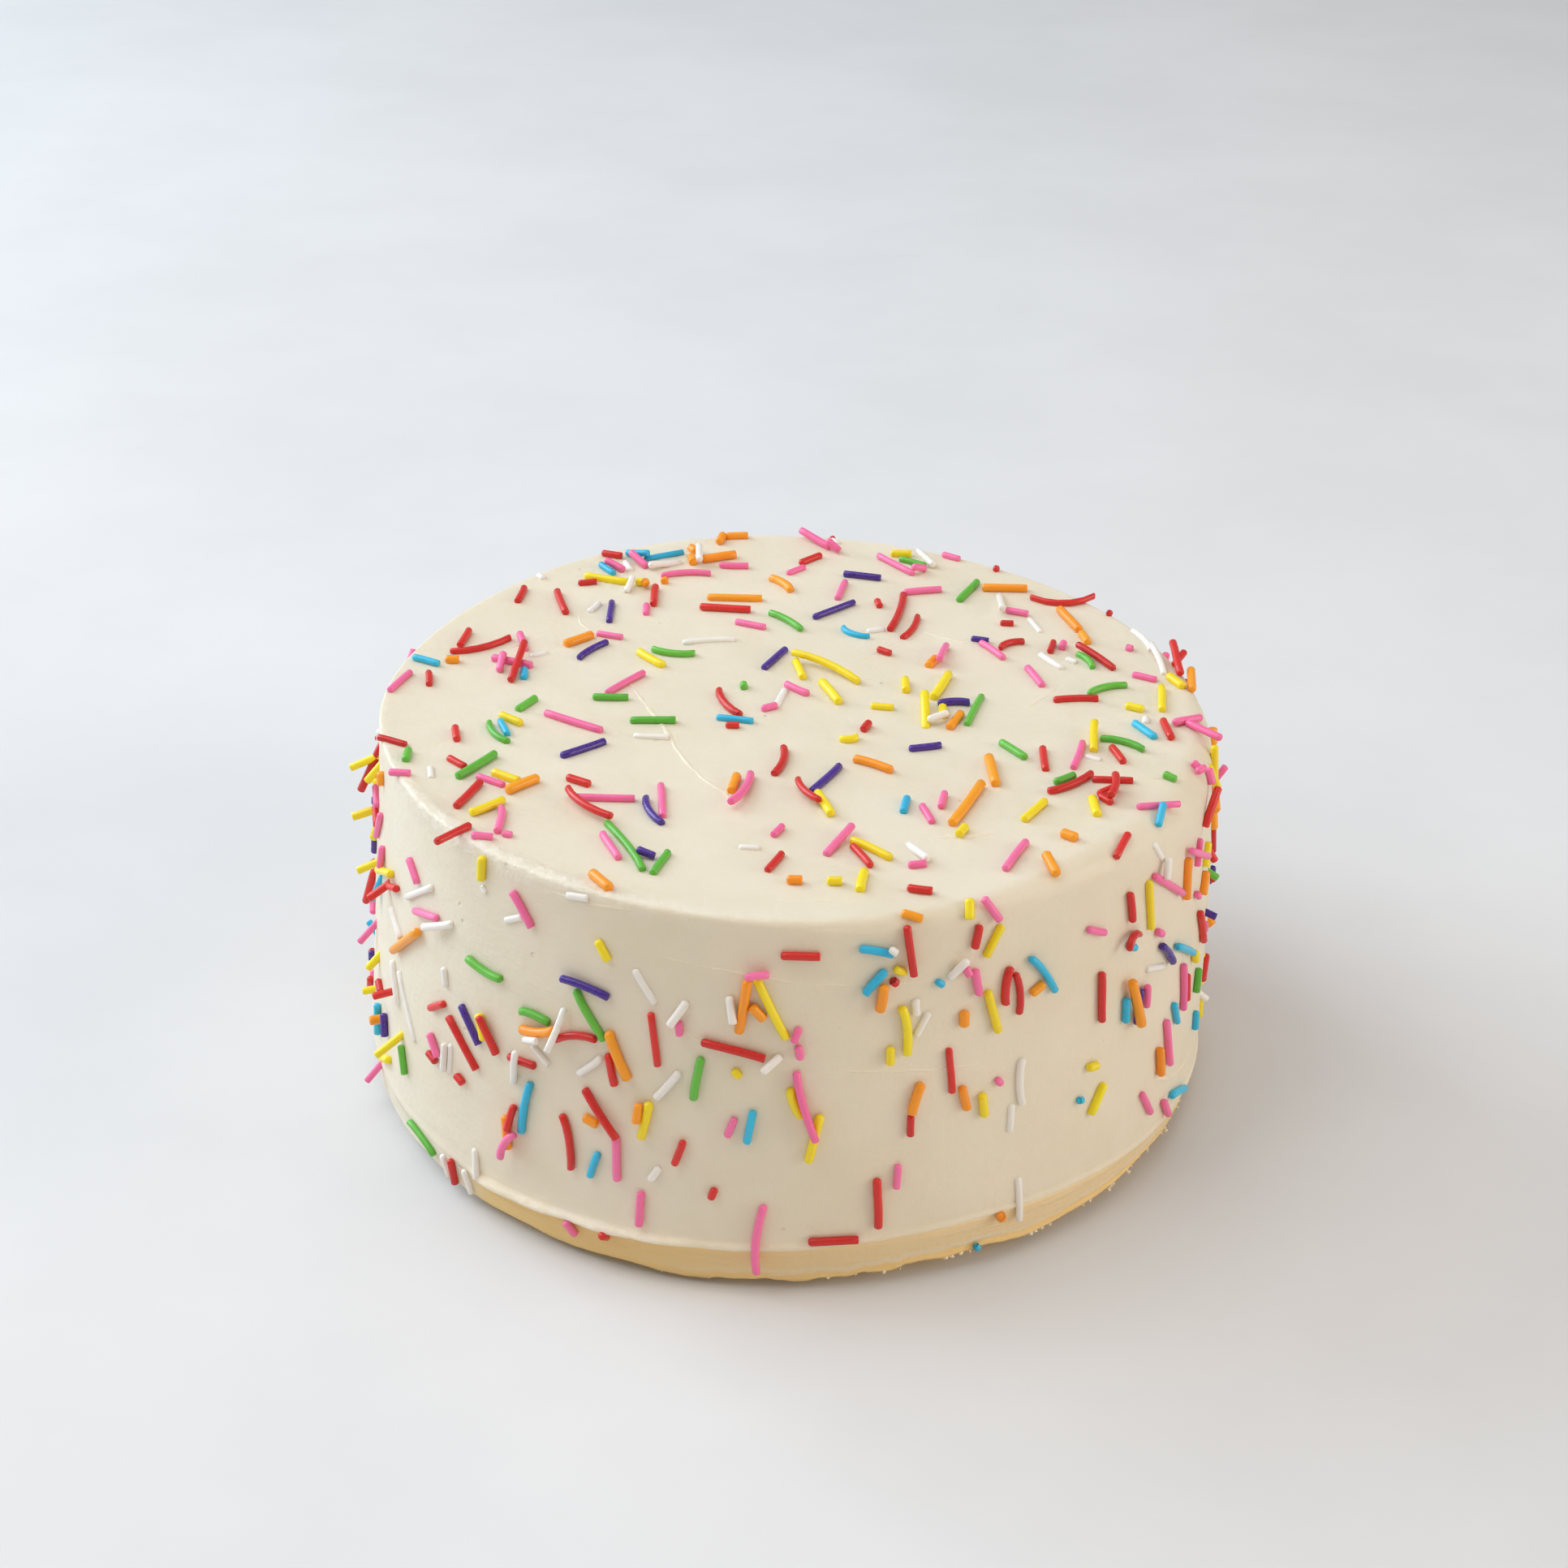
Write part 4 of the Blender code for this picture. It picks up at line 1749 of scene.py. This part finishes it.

# Sprinkles listed one by one: all those on the top, and on the side those that the front shows.
# Each row is where one end comes down, where the other does, and then the bend where it is
# a marked one, as a share of the length and positive to the left, and the lean in radians
# of one that stands up. On the top a place is x, y in millimetres, and beyond the rim it
# folds down the side; on the side it is the angle in degrees and the height in millimetres.
ON_TOP: Rows = {
    Hue.GREEN: (
        (-5.7, 46, 1.8, 37.2, 0.06), (44.6, 66, 39.6, 55, 0), (-32.8, 26, -22.8, 24, -0.1),
        (-44.9, 2, -36.9, 2), (-35.9, -9, -25.8, -9), (-57.6, 1.4, -61.2, -4.6),
        (-67.1, -11, -62, -20, -0.1), (-64, -26, -71.1, -37), (42.6, 5, 38.6, -9),
        (66.7, 7, 75.8, 12, 0.12), (67.8, -14, 76.8, -19, 0.12), (45.6, -17, 50.6, -24),
        (56.2, -34.8, 60.7, -31.4), (79.7, -30.7, 82.3, -32.2), (66, 27.6, 69, 20.8, 0.1),
        (-11.2, 9.2, -11, 7), (26, 78.8, 32.2, 75), (-38.3, -55.2, -29.8, -74.2, 0.03),
        (-25, -66.5, -27.8, -75.4), (-83.1, -24.8, -83.1, -30),
    ),
    Hue.PURPLE: (
        (4.7, 43.8, 14.4, 53), (12, 69, 21.1, 67), (-43.5, 51.2, -43.5, 40.2), (-1.7, 27, -6.7, 17),
        (32.5, 0, 39.6, 1, 0.1), (25.5, -21, 32.5, -19), (-43.3, 29.6, -49.4, 21.4, -0.05),
        (-49.9, -26, -40.9, -19), (10.4, -28.8, 4.2, -40.2), (-30.8, -44, -26.8, -55, -0.08),
        (41.6, 34, 45.6, 33), (-31.4, -68, -27.6, -69.2),
    ),
    Hue.BLUE: (
        (-36.8, 74.7, -27.6, 79.5), (-41.6, 77.6, -35.8, 74.2), (11.4, 39, 17.5, 34, -0.15),
        (-16.8, -7, -8.7, -9), (-87.3, 19.4, -81, 16.2), (-64.6, -10, -62.4, -16.6),
        (24.5, -42, 23.5, -48), (75.8, -6, 79.8, -13), (-47.6, 71.2, -43.9, 66),
        (-61.4, 15.5, -61.2, 10.8),
    ),
    Hue.YELLOW: (
        (0.5, 20.5, 2.3, 12), (-0.3, 21.3, 15, 10, 0.08), (6.4, 10, 10.4, 0),
        (29.5, -9, 29.5, 3, 0, 0.3), (35.6, 15, 31.5, 3), (17.5, -1, 22.5, -2),
        (10.4, -17, 14.4, -16, -0.15), (25.5, 12, 25.5, 6), (-35.9, 25, -29.8, 18),
        (-64.8, -7.6, -59.8, -11.6), (-50.9, 64.7, -40.2, 61.5), (-38.4, 61.2, -35.2, 60.8),
        (66.7, -9, 65.7, -20), (53.7, -43, 48.6, -51), (83.8, 12, 82.8, 0), (85.8, 17.2, 88.8, 12),
        (63.7, -41, 64.2, -48.4), (15, -72.2, 14, -80), (23.8, 81.6, 29, 81.6),
        (74.8, 2, 78.6, 0.2), (36.2, -54, 34.6, -57.6), (35.4, -81.8, 37.4, -89),
        (7.4, -77, 10.4, -77), (12.4, -60, 20.5, -67), (5.4, -41, 8.4, -50), (-64, -34, -58, -38),
        (-60.3, -46.8, -66.7, -53), (33.5, -1, 33.5, -6),
    ),
    Hue.ORANGE: (
        (-20.8, 54, -7.7, 54), (-22.9, 74.6, -14.6, 78.2), (45.5, 61.8, 56.4, 61.8),
        (63.4, 51, 67.3, 39.6), (67.6, 38.4, 68.8, 33.2), (-46.9, 33, -53, 28),
        (13.4, -26, 21.5, -31, 0.04), (42.6, -24, 43.6, -36), (-5.7, 66, -0.7, 59, 0.08),
        (-79.8, 18.6, -76.7, 18.8), (-36.6, 60, -35.4, 58.8), (-31.4, 63.2, -31.4, 61.8),
        (-26, 82.4, -24.3, 79.8), (-25.6, 76.2, -24.8, 72.6), (-18.9, 85.2, -18, 89.4),
        (-17.3, 89.4, -11.8, 90.2), (56.1, -56.3, 59, -58.5), (90.4, 11.5, 91.2, 21.6, 0, 0.01),
        (22.2, -88.6, 26.6, -89.6), (-40.1, -76.4, -36, -83, 0), (-0.7, -77, 2.4, -77),
        (51.7, -66, 53.7, -72), (-11.7, -34, -12.7, -41), (33, 23.6, 31, 19.2),
        (37.6, -4, 34.6, -11), (40.6, -36, 33.5, -53), (-54, -37, -60, -43),
    ),
    Hue.PINK: (
        (20.6, 80.4, 29, 70.2), (28.9, 70.6, 32.2, 73), (-1.7, 69, 2.4, 73),
        (-32.4, 65.2, -20.4, 67.2, 0.1), (-18.4, 72.2, -11.3, 72.2), (26.5, 59, 35.6, 61),
        (12.4, 65, 10.4, 55), (-13.7, 41, -6.7, 38), (-33.9, 14, -41.9, 4), (-55, -6, -41.9, -14),
        (-46, 34, -39.9, 32), (-64, 33, -62, 25), (-69.3, 20.4, -59.8, 17),
        (-40.4, 75.2, -36, 70.2), (-46.4, 71, -41.6, 68), (-35.2, 49.6, -35, 44.6),
        (36.7, 82, 40.8, 79.3), (63.2, 33, 62.4, 30), (77.6, 31.4, 79, 30.6),
        (24, -69.6, 27.6, -68.8), (86.6, -23.4, 89.6, -24.8), (87, -26.6, 90.2, -25.2),
        (-6.8, -3.4, -3.6, -1.6), (-87, 12.2, -90.6, 2.4), (35.6, 30, 33.5, 19),
        (43.6, 32, 48.6, 24, 0.03), (53.7, 20, 56.7, 11), (63.7, -16, 60.7, -28),
        (27.5, -45, 29.5, -52), (32.5, -40, 31.5, -46), (48.6, -60, 43.6, -71),
        (12.8, -55.8, 7.2, -66, 0), (-1.7, -55, -3.7, -59), (-8.7, -33, -12.7, -48, 0.06),
        (-27.8, -38, -26.8, -52), (-60.6, -49.8, -60.5, -60.4, 0.03), (-38.9, -60, -34.9, -70),
        (-86.4, -35.6, -80.6, -36), (77.8, 17.6, 83, 15.2), (50.6, 50, 55.7, 48),
        (84.4, -6.6, 91, -2.6), (87.6, -5.8, 94.2, -13.4, 0, 0.03), (-1.7, 9, 3.4, 4),
        (8.9, 84.4, 1.4, 91.8, 0, 0.12), (7.9, 84.6, 11.3, 82.2), (-45.4, -44.8, -33, -44.8),
        (-67.1, -36, -61, -40), (-65.6, -63.2, -61.2, -62.8), (-59.4, -60.8, -57.4, -61.4),
        (72.9, -45, 82.3, -41.6, 0, -0.1), (-67, 13.8, -66.5, 19.6),
    ),
    Hue.RED: (
        (1.4, 75, 6.4, 80), (-47.5, 77.2, -42.5, 75.8), (-57, 56, -54, 44), (-65, 58, -66, 50),
        (-33.5, 59.2, -33.5, 49.2), (26.4, 58, 22.7, 38, 0.03), (29.5, 46, 25.5, 34, 0.06),
        (56.8, 57.1, 72.5, 58.2, -0.22, 0.01), (65.8, 29.6, 73.8, 20.3, 0.03),
        (58.7, 4, 68.8, 5, 0.04), (-79.1, 23, -66, 31, -0.1), (-75.9, 34.4, -77.3, 26.2),
        (-82.9, 12.2, -82.1, 6), (-74.1, -14, -73.1, -20), (-90, -19.2, -83.6, -22.4),
        (-66, -39, -70.1, -50), (-47.9, -36, -42.9, -39), (-1.7, -21, -3.7, -33, 0.07),
        (-16.8, 6, -11.7, -6, -0.08), (54.7, -19, 54.7, -29), (82.4, -5, 83.4, -13.4),
        (49.2, 73.8, 49.9, 73), (48.9, 43, 52, 42.9), (75, 49.6, 75.3, 48.8),
        (60.8, 33.2, 59.6, 28), (-52.2, 60.4, -47.8, 61.4), (89.3, 18.6, 87.2, 31.4, 0, 0.16),
        (88.2, 23.2, 90.3, 28.2, 0, 0.19), (47.9, 29.2, 53.7, 33, 0.15), (69.8, -54.5, 66.8, -61.3),
        (12.6, -62.6, 16.3, -70.4), (-1.7, -66, -4.7, -73), (23.5, -79, 28.5, -80),
        (19.5, 27, 22.5, 25), (69.8, -18, 71.8, -25), (-14.7, -11, -11.7, -11),
        (-66.2, -58.7, -72.4, -66.6, 0, 0.04), (19.9, 54.2, 20.5, 51), (17, -9.6, 15.6, -13),
        (-47.4, -43.4, -37.4, -55.2, -0.09), (-22.4, 48.2, -10.3, 47.2), (64.4, -33, 73.1, -33.3),
        (69.4, -36.5, 65.2, -40.1), (65.4, -40.5, 67.6, -43.4), (69.2, -34, 67.4, -43.2, 0.05),
        (54.6, -39, 64.5, -30.6, -0.07), (1.2, -36.3, 5.8, -46.2, -0.08), (-62, 24, -64, 9),
        (-74.1, -28, -70.1, -32),
    ),
    Hue.WHITE: (
        (-25.8, 30, -13.7, 32, 0.04), (-34.8, -15.6, -27, -16.4), (49.6, 59.6, 49.5, 46.8),
        (55.9, 47, 58.3, 39.4), (57.2, 27.6, 61.8, 20.4), (63.2, 25.4, 65.4, 23.6),
        (17.3, 37.6, 21.2, 38.9), (-1.7, 7, -3.7, -1), (30, -9.4, 34.4, -6.8),
        (-41.6, 73.4, -40, 68.8), (-23.6, 79.8, -23.2, 69.8), (-62.3, 65.6, -60.8, 63.6),
        (-48.6, 45.6, -46.5, 50.6), (-60.6, 22.8, -57, 24.6), (30.8, 86.4, 33.6, 74),
        (78.9, -2.4, 78.6, -5.4), (63.8, -21.6, 67, -23.6), (9.2, 90.3, 10.8, 88.3),
        (24.2, -60.4, 28, -68), (-35.6, 69, -27.9, 74), (-38.8, 61.1, -40.5, 56.4),
        (-77.6, -31.8, -76.8, -36.6), (-10.6, -63.5, -6.4, -63.6),
    ),
}
ON_SIDE: Rows = {
    Hue.GREEN: (
        (224.8, 62.5, 231.2, 61.9, -0.05), (242.8, 66.5, 246.9, 56.4, -0.03),
        (234.4, 56.7, 239, 56.5, 0.05), (259.5, 56.7, 258.6, 46.8), (211.6, 9.9, 217.9, 7.1, 0.05),
        (342.8, 39, 342.3, 33.2), (349, 58, 349, 54, 0, 1), (208.6, 26.5, 210, 20.3),
    ),
    Hue.PURPLE: (
        (223.6, 50.2, 227.4, 43.4), (240.9, 68.7, 247.5, 66.8, 0.03), (322.5, 52, 321.9, 43.8),
        (327.3, 59, 330.8, 52, 0.04), (348, 48.5, 348, 44.5, 0, 1.2), (187, 69.7, 187, 67.7),
        (187, 58.7, 187, 55.2), (187, 29, 187, 26.5), (201.2, 27.3, 202.3, 22.3),
    ),
    Hue.BLUE: (
        (236.2, 40.3, 234.9, 27.3, -0.03), (246.3, 29, 245.2, 22.7), (266, 45.4, 265.3, 37.7),
        (278.6, 82.6, 282.8, 80.6, 0.02), (281.9, 77.2, 279.3, 72.3),
        (302, 72.6, 306.2, 62.6, 0.04), (288.6, 72.8, 289.5, 71.5), (310.4, 33.3, 311.3, 32.8),
        (319.3, 52.3, 319.3, 46.4), (319.4, 65.2, 321.2, 63), (332.3, 39.8, 333.9, 33.5),
        (331.9, 54.9, 338.6, 47.2), (295.4, 5, 295.9, 3.9), (332.8, 15.2, 338.4, 11.5),
        (343.3, 27, 343.3, 22.3), (195.5, 56.5, 194.5, 48.5, 0, 0.3), (197.5, 26, 198, 18.4),
    ),
    Hue.YELLOW: (
        (227.5, 88.1, 227.3, 82.7), (245.8, 79.2, 247.3, 75.2), (227.3, 50.9, 228.4, 45.4),
        (253.1, 44.4, 252.1, 35.6), (266.1, 76, 269.9, 62.6), (270.4, 50.9, 271.8, 44.2, -0.05),
        (274.2, 44.6, 272.8, 33.6), (284.1, 68.3, 284.9, 57, 0.05), (282.7, 59.2, 282.7, 55.3),
        (295.3, 43.6, 295.7, 38.1), (297.6, 82.2, 295.4, 75.8), (295.7, 67.8, 297.4, 57.6),
        (312.1, 40.2, 313.9, 39.7), (315.4, 34, 312.9, 28), (324, 77, 324.8, 65),
        (263.5, 54.7, 264.3, 53.2), (283, 77.3, 284.4, 76), (351.5, 87, 352.5, 78),
        (349, 83.5, 349, 77.5, 0, 0.35), (345.5, 69, 344, 64), (339.3, 46.6, 340.4, 43.5),
        (188, 80.9, 188, 72.4, 0, 1.1), (190, 79.7, 190, 73.7, 0, 0.65),
        (187, 66.5, 187, 59, 0, 1.2), (187, 61.2, 187, 57.2, 0, 0.3), (190, 55.5, 190, 49, 0, 1.1),
        (195.5, 58.9, 202.8, 64.4), (195, 36, 195, 30.3, 0, 0.65), (192, 24, 192, 19.5, 0, 1.4),
        (208, 28.5, 208, 19.5, 0, 0.97), (200.5, 14.8, 204, 17.8),
    ),
    Hue.ORANGE: (
        (213.8, 60, 205.3, 47.7), (247.5, 58.9, 250.2, 48.7), (234.6, 52.3, 240.6, 56.3, -0.05),
        (251.9, 44, 251.7, 39.7), (232.3, 29.6, 232.9, 21.9), (244.2, 36.7, 246.2, 35.9),
        (265.1, 76, 264.1, 63.5), (265.5, 70, 267.1, 67), (281.6, 74.4, 281.3, 68),
        (286.8, 49.7, 285.6, 42.7), (292.4, 46.6, 293.2, 40.9), (292.5, 64.4, 292.5, 61),
        (302.3, 63.9, 304.2, 65.4), (319.7, 56.6, 321.5, 44.4), (328.1, 32.3, 328.6, 25),
        (335.1, 74, 334.9, 64.2), (298.1, 12.9, 298.7, 11.2), (344, 63, 342.5, 58.3),
        (195, 82.9, 195.3, 79.9), (199, 23.5, 199, 19, 0, 1.5),
    ),
    Hue.PINK: (
        (232.9, 83.8, 236.2, 77.3), (218.1, 66.7, 211.7, 63.2), (256.6, 64.6, 256.8, 61.4),
        (234.6, 27.4, 232.5, 20.2, -0.1), (248.7, 34.4, 249, 23.8), (252.2, 22.3, 252, 14),
        (263.8, 43.4, 262.9, 38.9), (264.7, 77.4, 267.7, 77.1), (271.4, 65.1, 270.8, 61.9),
        (271.3, 61, 271.6, 58), (271.1, 55, 273.6, 39.4, -0.03), (267.5, 22.8, 266.7, 6.4, -0.05),
        (284.1, 30.7, 283.9, 25.1), (294.9, 88, 297, 83.2), (293.8, 73.6, 294.5, 67.6),
        (292.4, 74.8, 292.9, 72.8), (311.7, 73.7, 314.9, 71), (323.4, 52.4, 324.3, 46.2),
        (325, 77.6, 333.2, 67), (326.2, 63.2, 327.6, 61.6), (335, 47.5, 335.9, 35, 0.03),
        (330, 37.6, 331.8, 24.6), (323.9, 24.2, 326.5, 16.9), (330.2, 16.5, 331.9, 11.3),
        (241.9, 9.9, 242.8, 6.1), (216.9, 37.6, 219.1, 33.5), (297.4, 46.1, 298.1, 44.6),
        (209.2, 73.9, 212.2, 70.3), (346.5, 86, 345.5, 83), (340.2, 74.5, 339.2, 68.5),
        (334.7, 76.3, 341, 69.8), (339, 61.8, 340.2, 60), (346, 48, 346, 45.5),
        (188, 73.5, 191, 70.8), (195.5, 72.7, 191.5, 63.7), (197, 66.2, 197.5, 61.2),
        (191, 40.5, 191, 32.7, 0, 0.65), (199, 11.4, 199, 4.4, 0, 0.8),
    ),
    Hue.RED: (
        (221.1, 45.5, 227, 36.9), (228, 51.4, 230.6, 43.4), (220.1, 47.5, 216.7, 43.6),
        (240, 53.3, 245.8, 56.3, 0.08), (247.4, 53.4, 248.4, 46.4), (253, 65.2, 254, 53.2),
        (259.5, 60.7, 267.4, 58), (232.6, 44.4, 236.9, 44.8), (233.7, 33.4, 233.6, 27.4),
        (244.2, 43.7, 249.3, 34.7, -0.02), (241.2, 35.8, 242.6, 23.1, 0.05),
        (257.5, 36.6, 256.4, 30.6), (261.5, 26, 261, 23.5), (269, 81.4, 273.8, 81.2),
        (273, 13.8, 279.2, 13.5), (281.4, 28, 281.7, 16), (284.5, 86.5, 285.3, 75.5),
        (285.6, 42.1, 285.6, 37.3), (290.5, 56.3, 291.1, 45.7), (294.3, 83.6, 293.7, 78.6),
        (299, 71.8, 298.4, 63.4, -0.06), (299.9, 70, 300.6, 60.2, 0.06), (314.3, 62, 314.5, 50),
        (319.6, 77.4, 320.3, 70.2, 0.02), (317.8, 66, 321.8, 66.3, 0.2), (247.6, 11.2, 247.4, 8.4),
        (222.1, 10, 222.4, 3.6), (216.6, 32.6, 218.6, 31.8), (223, 32.5, 224.5, 31.5),
        (282.7, 74.8, 283.4, 73.6), (346, 82.6, 342.2, 75.6), (341.3, 55, 344.5, 44.5),
        (337, 43, 337.4, 36), (352, 60, 352, 56.5, 0, 0.5), (188, 82.2, 188, 69.7, 0, 0.36),
        (189, 69.2, 192, 66.5), (200.5, 59.9, 200.5, 52.7, 0, 0.94), (202, 60.7, 205.5, 63.2),
        (197, 31.8, 199, 30.4), (204.5, 36.3, 204.5, 29.8, 0, 1.45),
    ),
    Hue.WHITE: (
        (216.3, 72.6, 208.7, 63.9), (231.4, 75.7, 234.3, 78.3), (221.4, 67.8, 216.4, 63.8),
        (241.4, 62.1, 240.7, 52.5), (246.5, 52, 243.3, 46.5), (250.7, 74.2, 253.4, 67.3),
        (257.6, 69.1, 255.6, 63.9), (262.8, 71.5, 263.5, 66), (256.8, 52.4, 253.8, 45.4),
        (235.2, 48.6, 233.2, 38), (254.4, 28.9, 253.3, 25.6), (266.9, 55.6, 269.4, 58.5),
        (292.4, 77.2, 290.4, 72.7), (285.9, 69.2, 286.1, 65.7), (287.7, 65.7, 286.1, 60.7),
        (301.2, 48.9, 301.4, 37.9, -0.05), (299.9, 38.6, 299.7, 32.1), (301.1, 19.8, 301.3, 9),
        (324.3, 55.2, 328.7, 52.4), (221.4, 38.5, 221.1, 31.2), (226.5, 16.4, 227.5, 9.9),
        (219.9, 9, 220.9, 4), (224.4, 9.1, 225.4, 3.4), (227, 80.9, 227.9, 79.9),
        (235.6, 50.9, 238.4, 53), (236.2, 49.2, 238.8, 46.2), (282.2, 82.4, 283.1, 81.4),
        (241.2, 87.2, 244.3, 87.9), (325.6, 84.4, 328, 79), (328, 80, 327, 75.6),
        (202.5, 55.8, 206.8, 52), (206.5, 43.5, 212.4, 31.2),
    ),
}
BY_HAND = {Face.TOP: ON_TOP, Face.SIDE: ON_SIDE}

# A few more of the same kind, laid over the others where they cross them.
LAID_LAST: tuple[tuple[Face, Hue, tuple[float, ...]], ...] = (
    (Face.TOP, Hue.BLUE, (77.4, -43.2, 76.8, -48.6, 0)),
    (Face.TOP, Hue.WHITE, (80.0, 41.2, 83.4, 30.8, 0.07)),
    (Face.TOP, Hue.WHITE, (83.2, 31.4, 85.2, 18.6, 0.03)),
    (Face.SIDE, Hue.WHITE, (204.0, 43.8, 206.6, 35.0, 0)),
    (Face.SIDE, Hue.WHITE, (220.7, 38.3, 220.4, 31.2, 0)),
    (Face.SIDE, Hue.WHITE, (219.6, 56.0, 220.1, 51.6, 0)),
)

# Handfuls thrown at the rest of the side: its right, its back and its left.
THROWN: tuple[Throw, ...] = (
    Throw((182, 44), (4, 42), 17, 0.22),
    Throw((162, 44), (16, 42), 62, 0.15),
    Throw((0, 46), (7, 40), 22, 0.2),
    Throw((19, 46), (13, 42), 50, 0.15),
    Throw((70, 44), (56, 44), 108, 0.08),
    Throw((125, 40), (36, 40), 44, 0.08),
)


@dataclass(frozen=True)
class Lamp:
    """A soft square light that faces the cake: its width is in metres, its power in watts."""

    name: str
    place: tuple[float, float, float]
    size: float
    power: float
    colour: Colour


@dataclass
class Studio:
    """Pale floor, soft light and the camera.

    Lens and sensor are in millimetres, look_down and roll in degrees, the rest in metres.
    """

    floor_colour: Colour = (0.895, 0.895, 0.90)
    floor_shade: float = 0.975
    floor_reach: float = 6.0
    eye: tuple[float, float, float] = (-0.0016, -0.5887, 0.3950)
    lens: float = 68.0
    sensor: float = 36.0
    sight: float = 50.0
    look_down: float = 29.02
    roll: float = 1.03
    sky: Colour = (1.0, 0.98, 0.953)
    sky_strength: float = 0.36
    aim: tuple[float, float, float] = (0.0, 0.0, 0.05)
    lamps: tuple[Lamp, ...] = (
        Lamp("window", (-1.4, 0.7, 0.8), 1.2, 19.5, (0.84, 1.0, 1.15)),
        Lamp("left_above", (-0.9, -0.25, 1.45), 1.0, 8.3, (1.0, 1.0, 1.0)),
        Lamp("overhead", (0.0, 0.1, 1.8), 1.3, 5.5, (1.0, 1.0, 1.0)),
        Lamp("right_fill", (1.5, -0.35, 0.55), 0.9, 9.4, (1.0, 0.90, 0.785)),
        Lamp("low_bounce", (0.15, -1.3, 0.14), 0.7, 1.4, (1.0, 0.54, 0.05)),
    )

    def build_floor(self) -> None:
        """Lay the pale floor that the cake stands on."""
        reach = self.floor_reach
        corners = [(-reach, -reach, 0), (reach, -reach, 0), (reach, reach, 0), (-reach, reach, 0)]
        mesh = new_mesh("floor", corners, (), [(0, 1, 2, 3)])
        floor = new_object("floor", mesh)
        material, nodes, shader = new_material("pale_floor")
        cloud = nodes.ramp(nodes.noise(nodes.place(), 7.0, 4.0, 0.6), 0.3, 0.7)
        darker = tuple(value * self.floor_shade for value in self.floor_colour)
        nodes.fill(shader, {
            "Base Color": nodes.mixed(cloud, linear(self.floor_colour), linear(darker)),
            "Roughness": 0.7,
            "Specular IOR Level": 0.25,
        })
        mesh.materials.append(material)

    def hang(self, lamp: Lamp) -> None:
        """Hang a lamp.

        Args:
            lamp: The lamp.
        """
        light = bpy.data.lights.new(lamp.name, "AREA")
        light.size = lamp.size
        light.energy = lamp.power
        light.color = lamp.colour
        ahead = Vector(self.aim) - Vector(lamp.place)
        turn = ahead.to_track_quat("-Z", "Y").to_matrix().to_4x4()
        new_object(lamp.name, light).matrix_world = Matrix.Translation(lamp.place) @ turn

    def build_lights(self) -> None:
        """Light the cake softly, mostly from the left and behind, with pale sky all round."""
        for lamp in self.lamps:
            self.hang(lamp)
        world = bpy.data.worlds.new("sky")
        world.use_nodes = True
        sky = world.node_tree.nodes["Background"]
        sky.inputs["Color"].default_value = (*self.sky, 1.0)
        sky.inputs["Strength"].default_value = self.sky_strength
        bpy.context.scene.world = world

    def build_camera(self) -> None:
        """Set the camera in front of the cake, looking down on it."""
        down, roll = math.radians(self.look_down), math.radians(self.roll)
        right = Vector((1, 0, 0))
        upward = Vector((0, math.sin(down), math.cos(down)))
        ahead = Vector((0, math.cos(down), -math.sin(down)))
        side = right * math.cos(roll) + upward * math.sin(roll)
        crown = upward * math.cos(roll) - right * math.sin(roll)
        camera = new_object("camera", bpy.data.cameras.new("camera"))
        camera.data.lens = self.lens
        camera.data.sensor_width = self.sensor
        camera.data.clip_end = self.sight
        turn = Matrix((side, crown, -ahead)).transposed()
        camera.matrix_world = Matrix.Translation(self.eye) @ turn.to_4x4()
        bpy.context.scene.camera = camera

    def build(self) -> None:
        """Build floor, lights and camera."""
        self.build_floor()
        self.build_lights()
        self.build_camera()
        bpy.context.scene.view_settings.view_transform = "Standard"


def main() -> None:
    """Build the cake, its sprinkles and the studio."""
    logging.basicConfig(level=logging.INFO, format="%(name)s: %(message)s", stream=sys.stdout)
    frosting = Frosting().build()
    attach(frosting, BODY)
    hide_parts(CAKE_NODE)
    LOG.info("frosting: %d faces", len(frosting.data.polygons))

    sprinkling = Sprinkling(Surface(frosting.data))
    for piece in sprinkling.build():
        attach(piece, BODY)
    LOG.info("sprinkles in all: %d", len(sprinkling.lain))

    Studio().build()


if __name__ == "__main__":
    main()
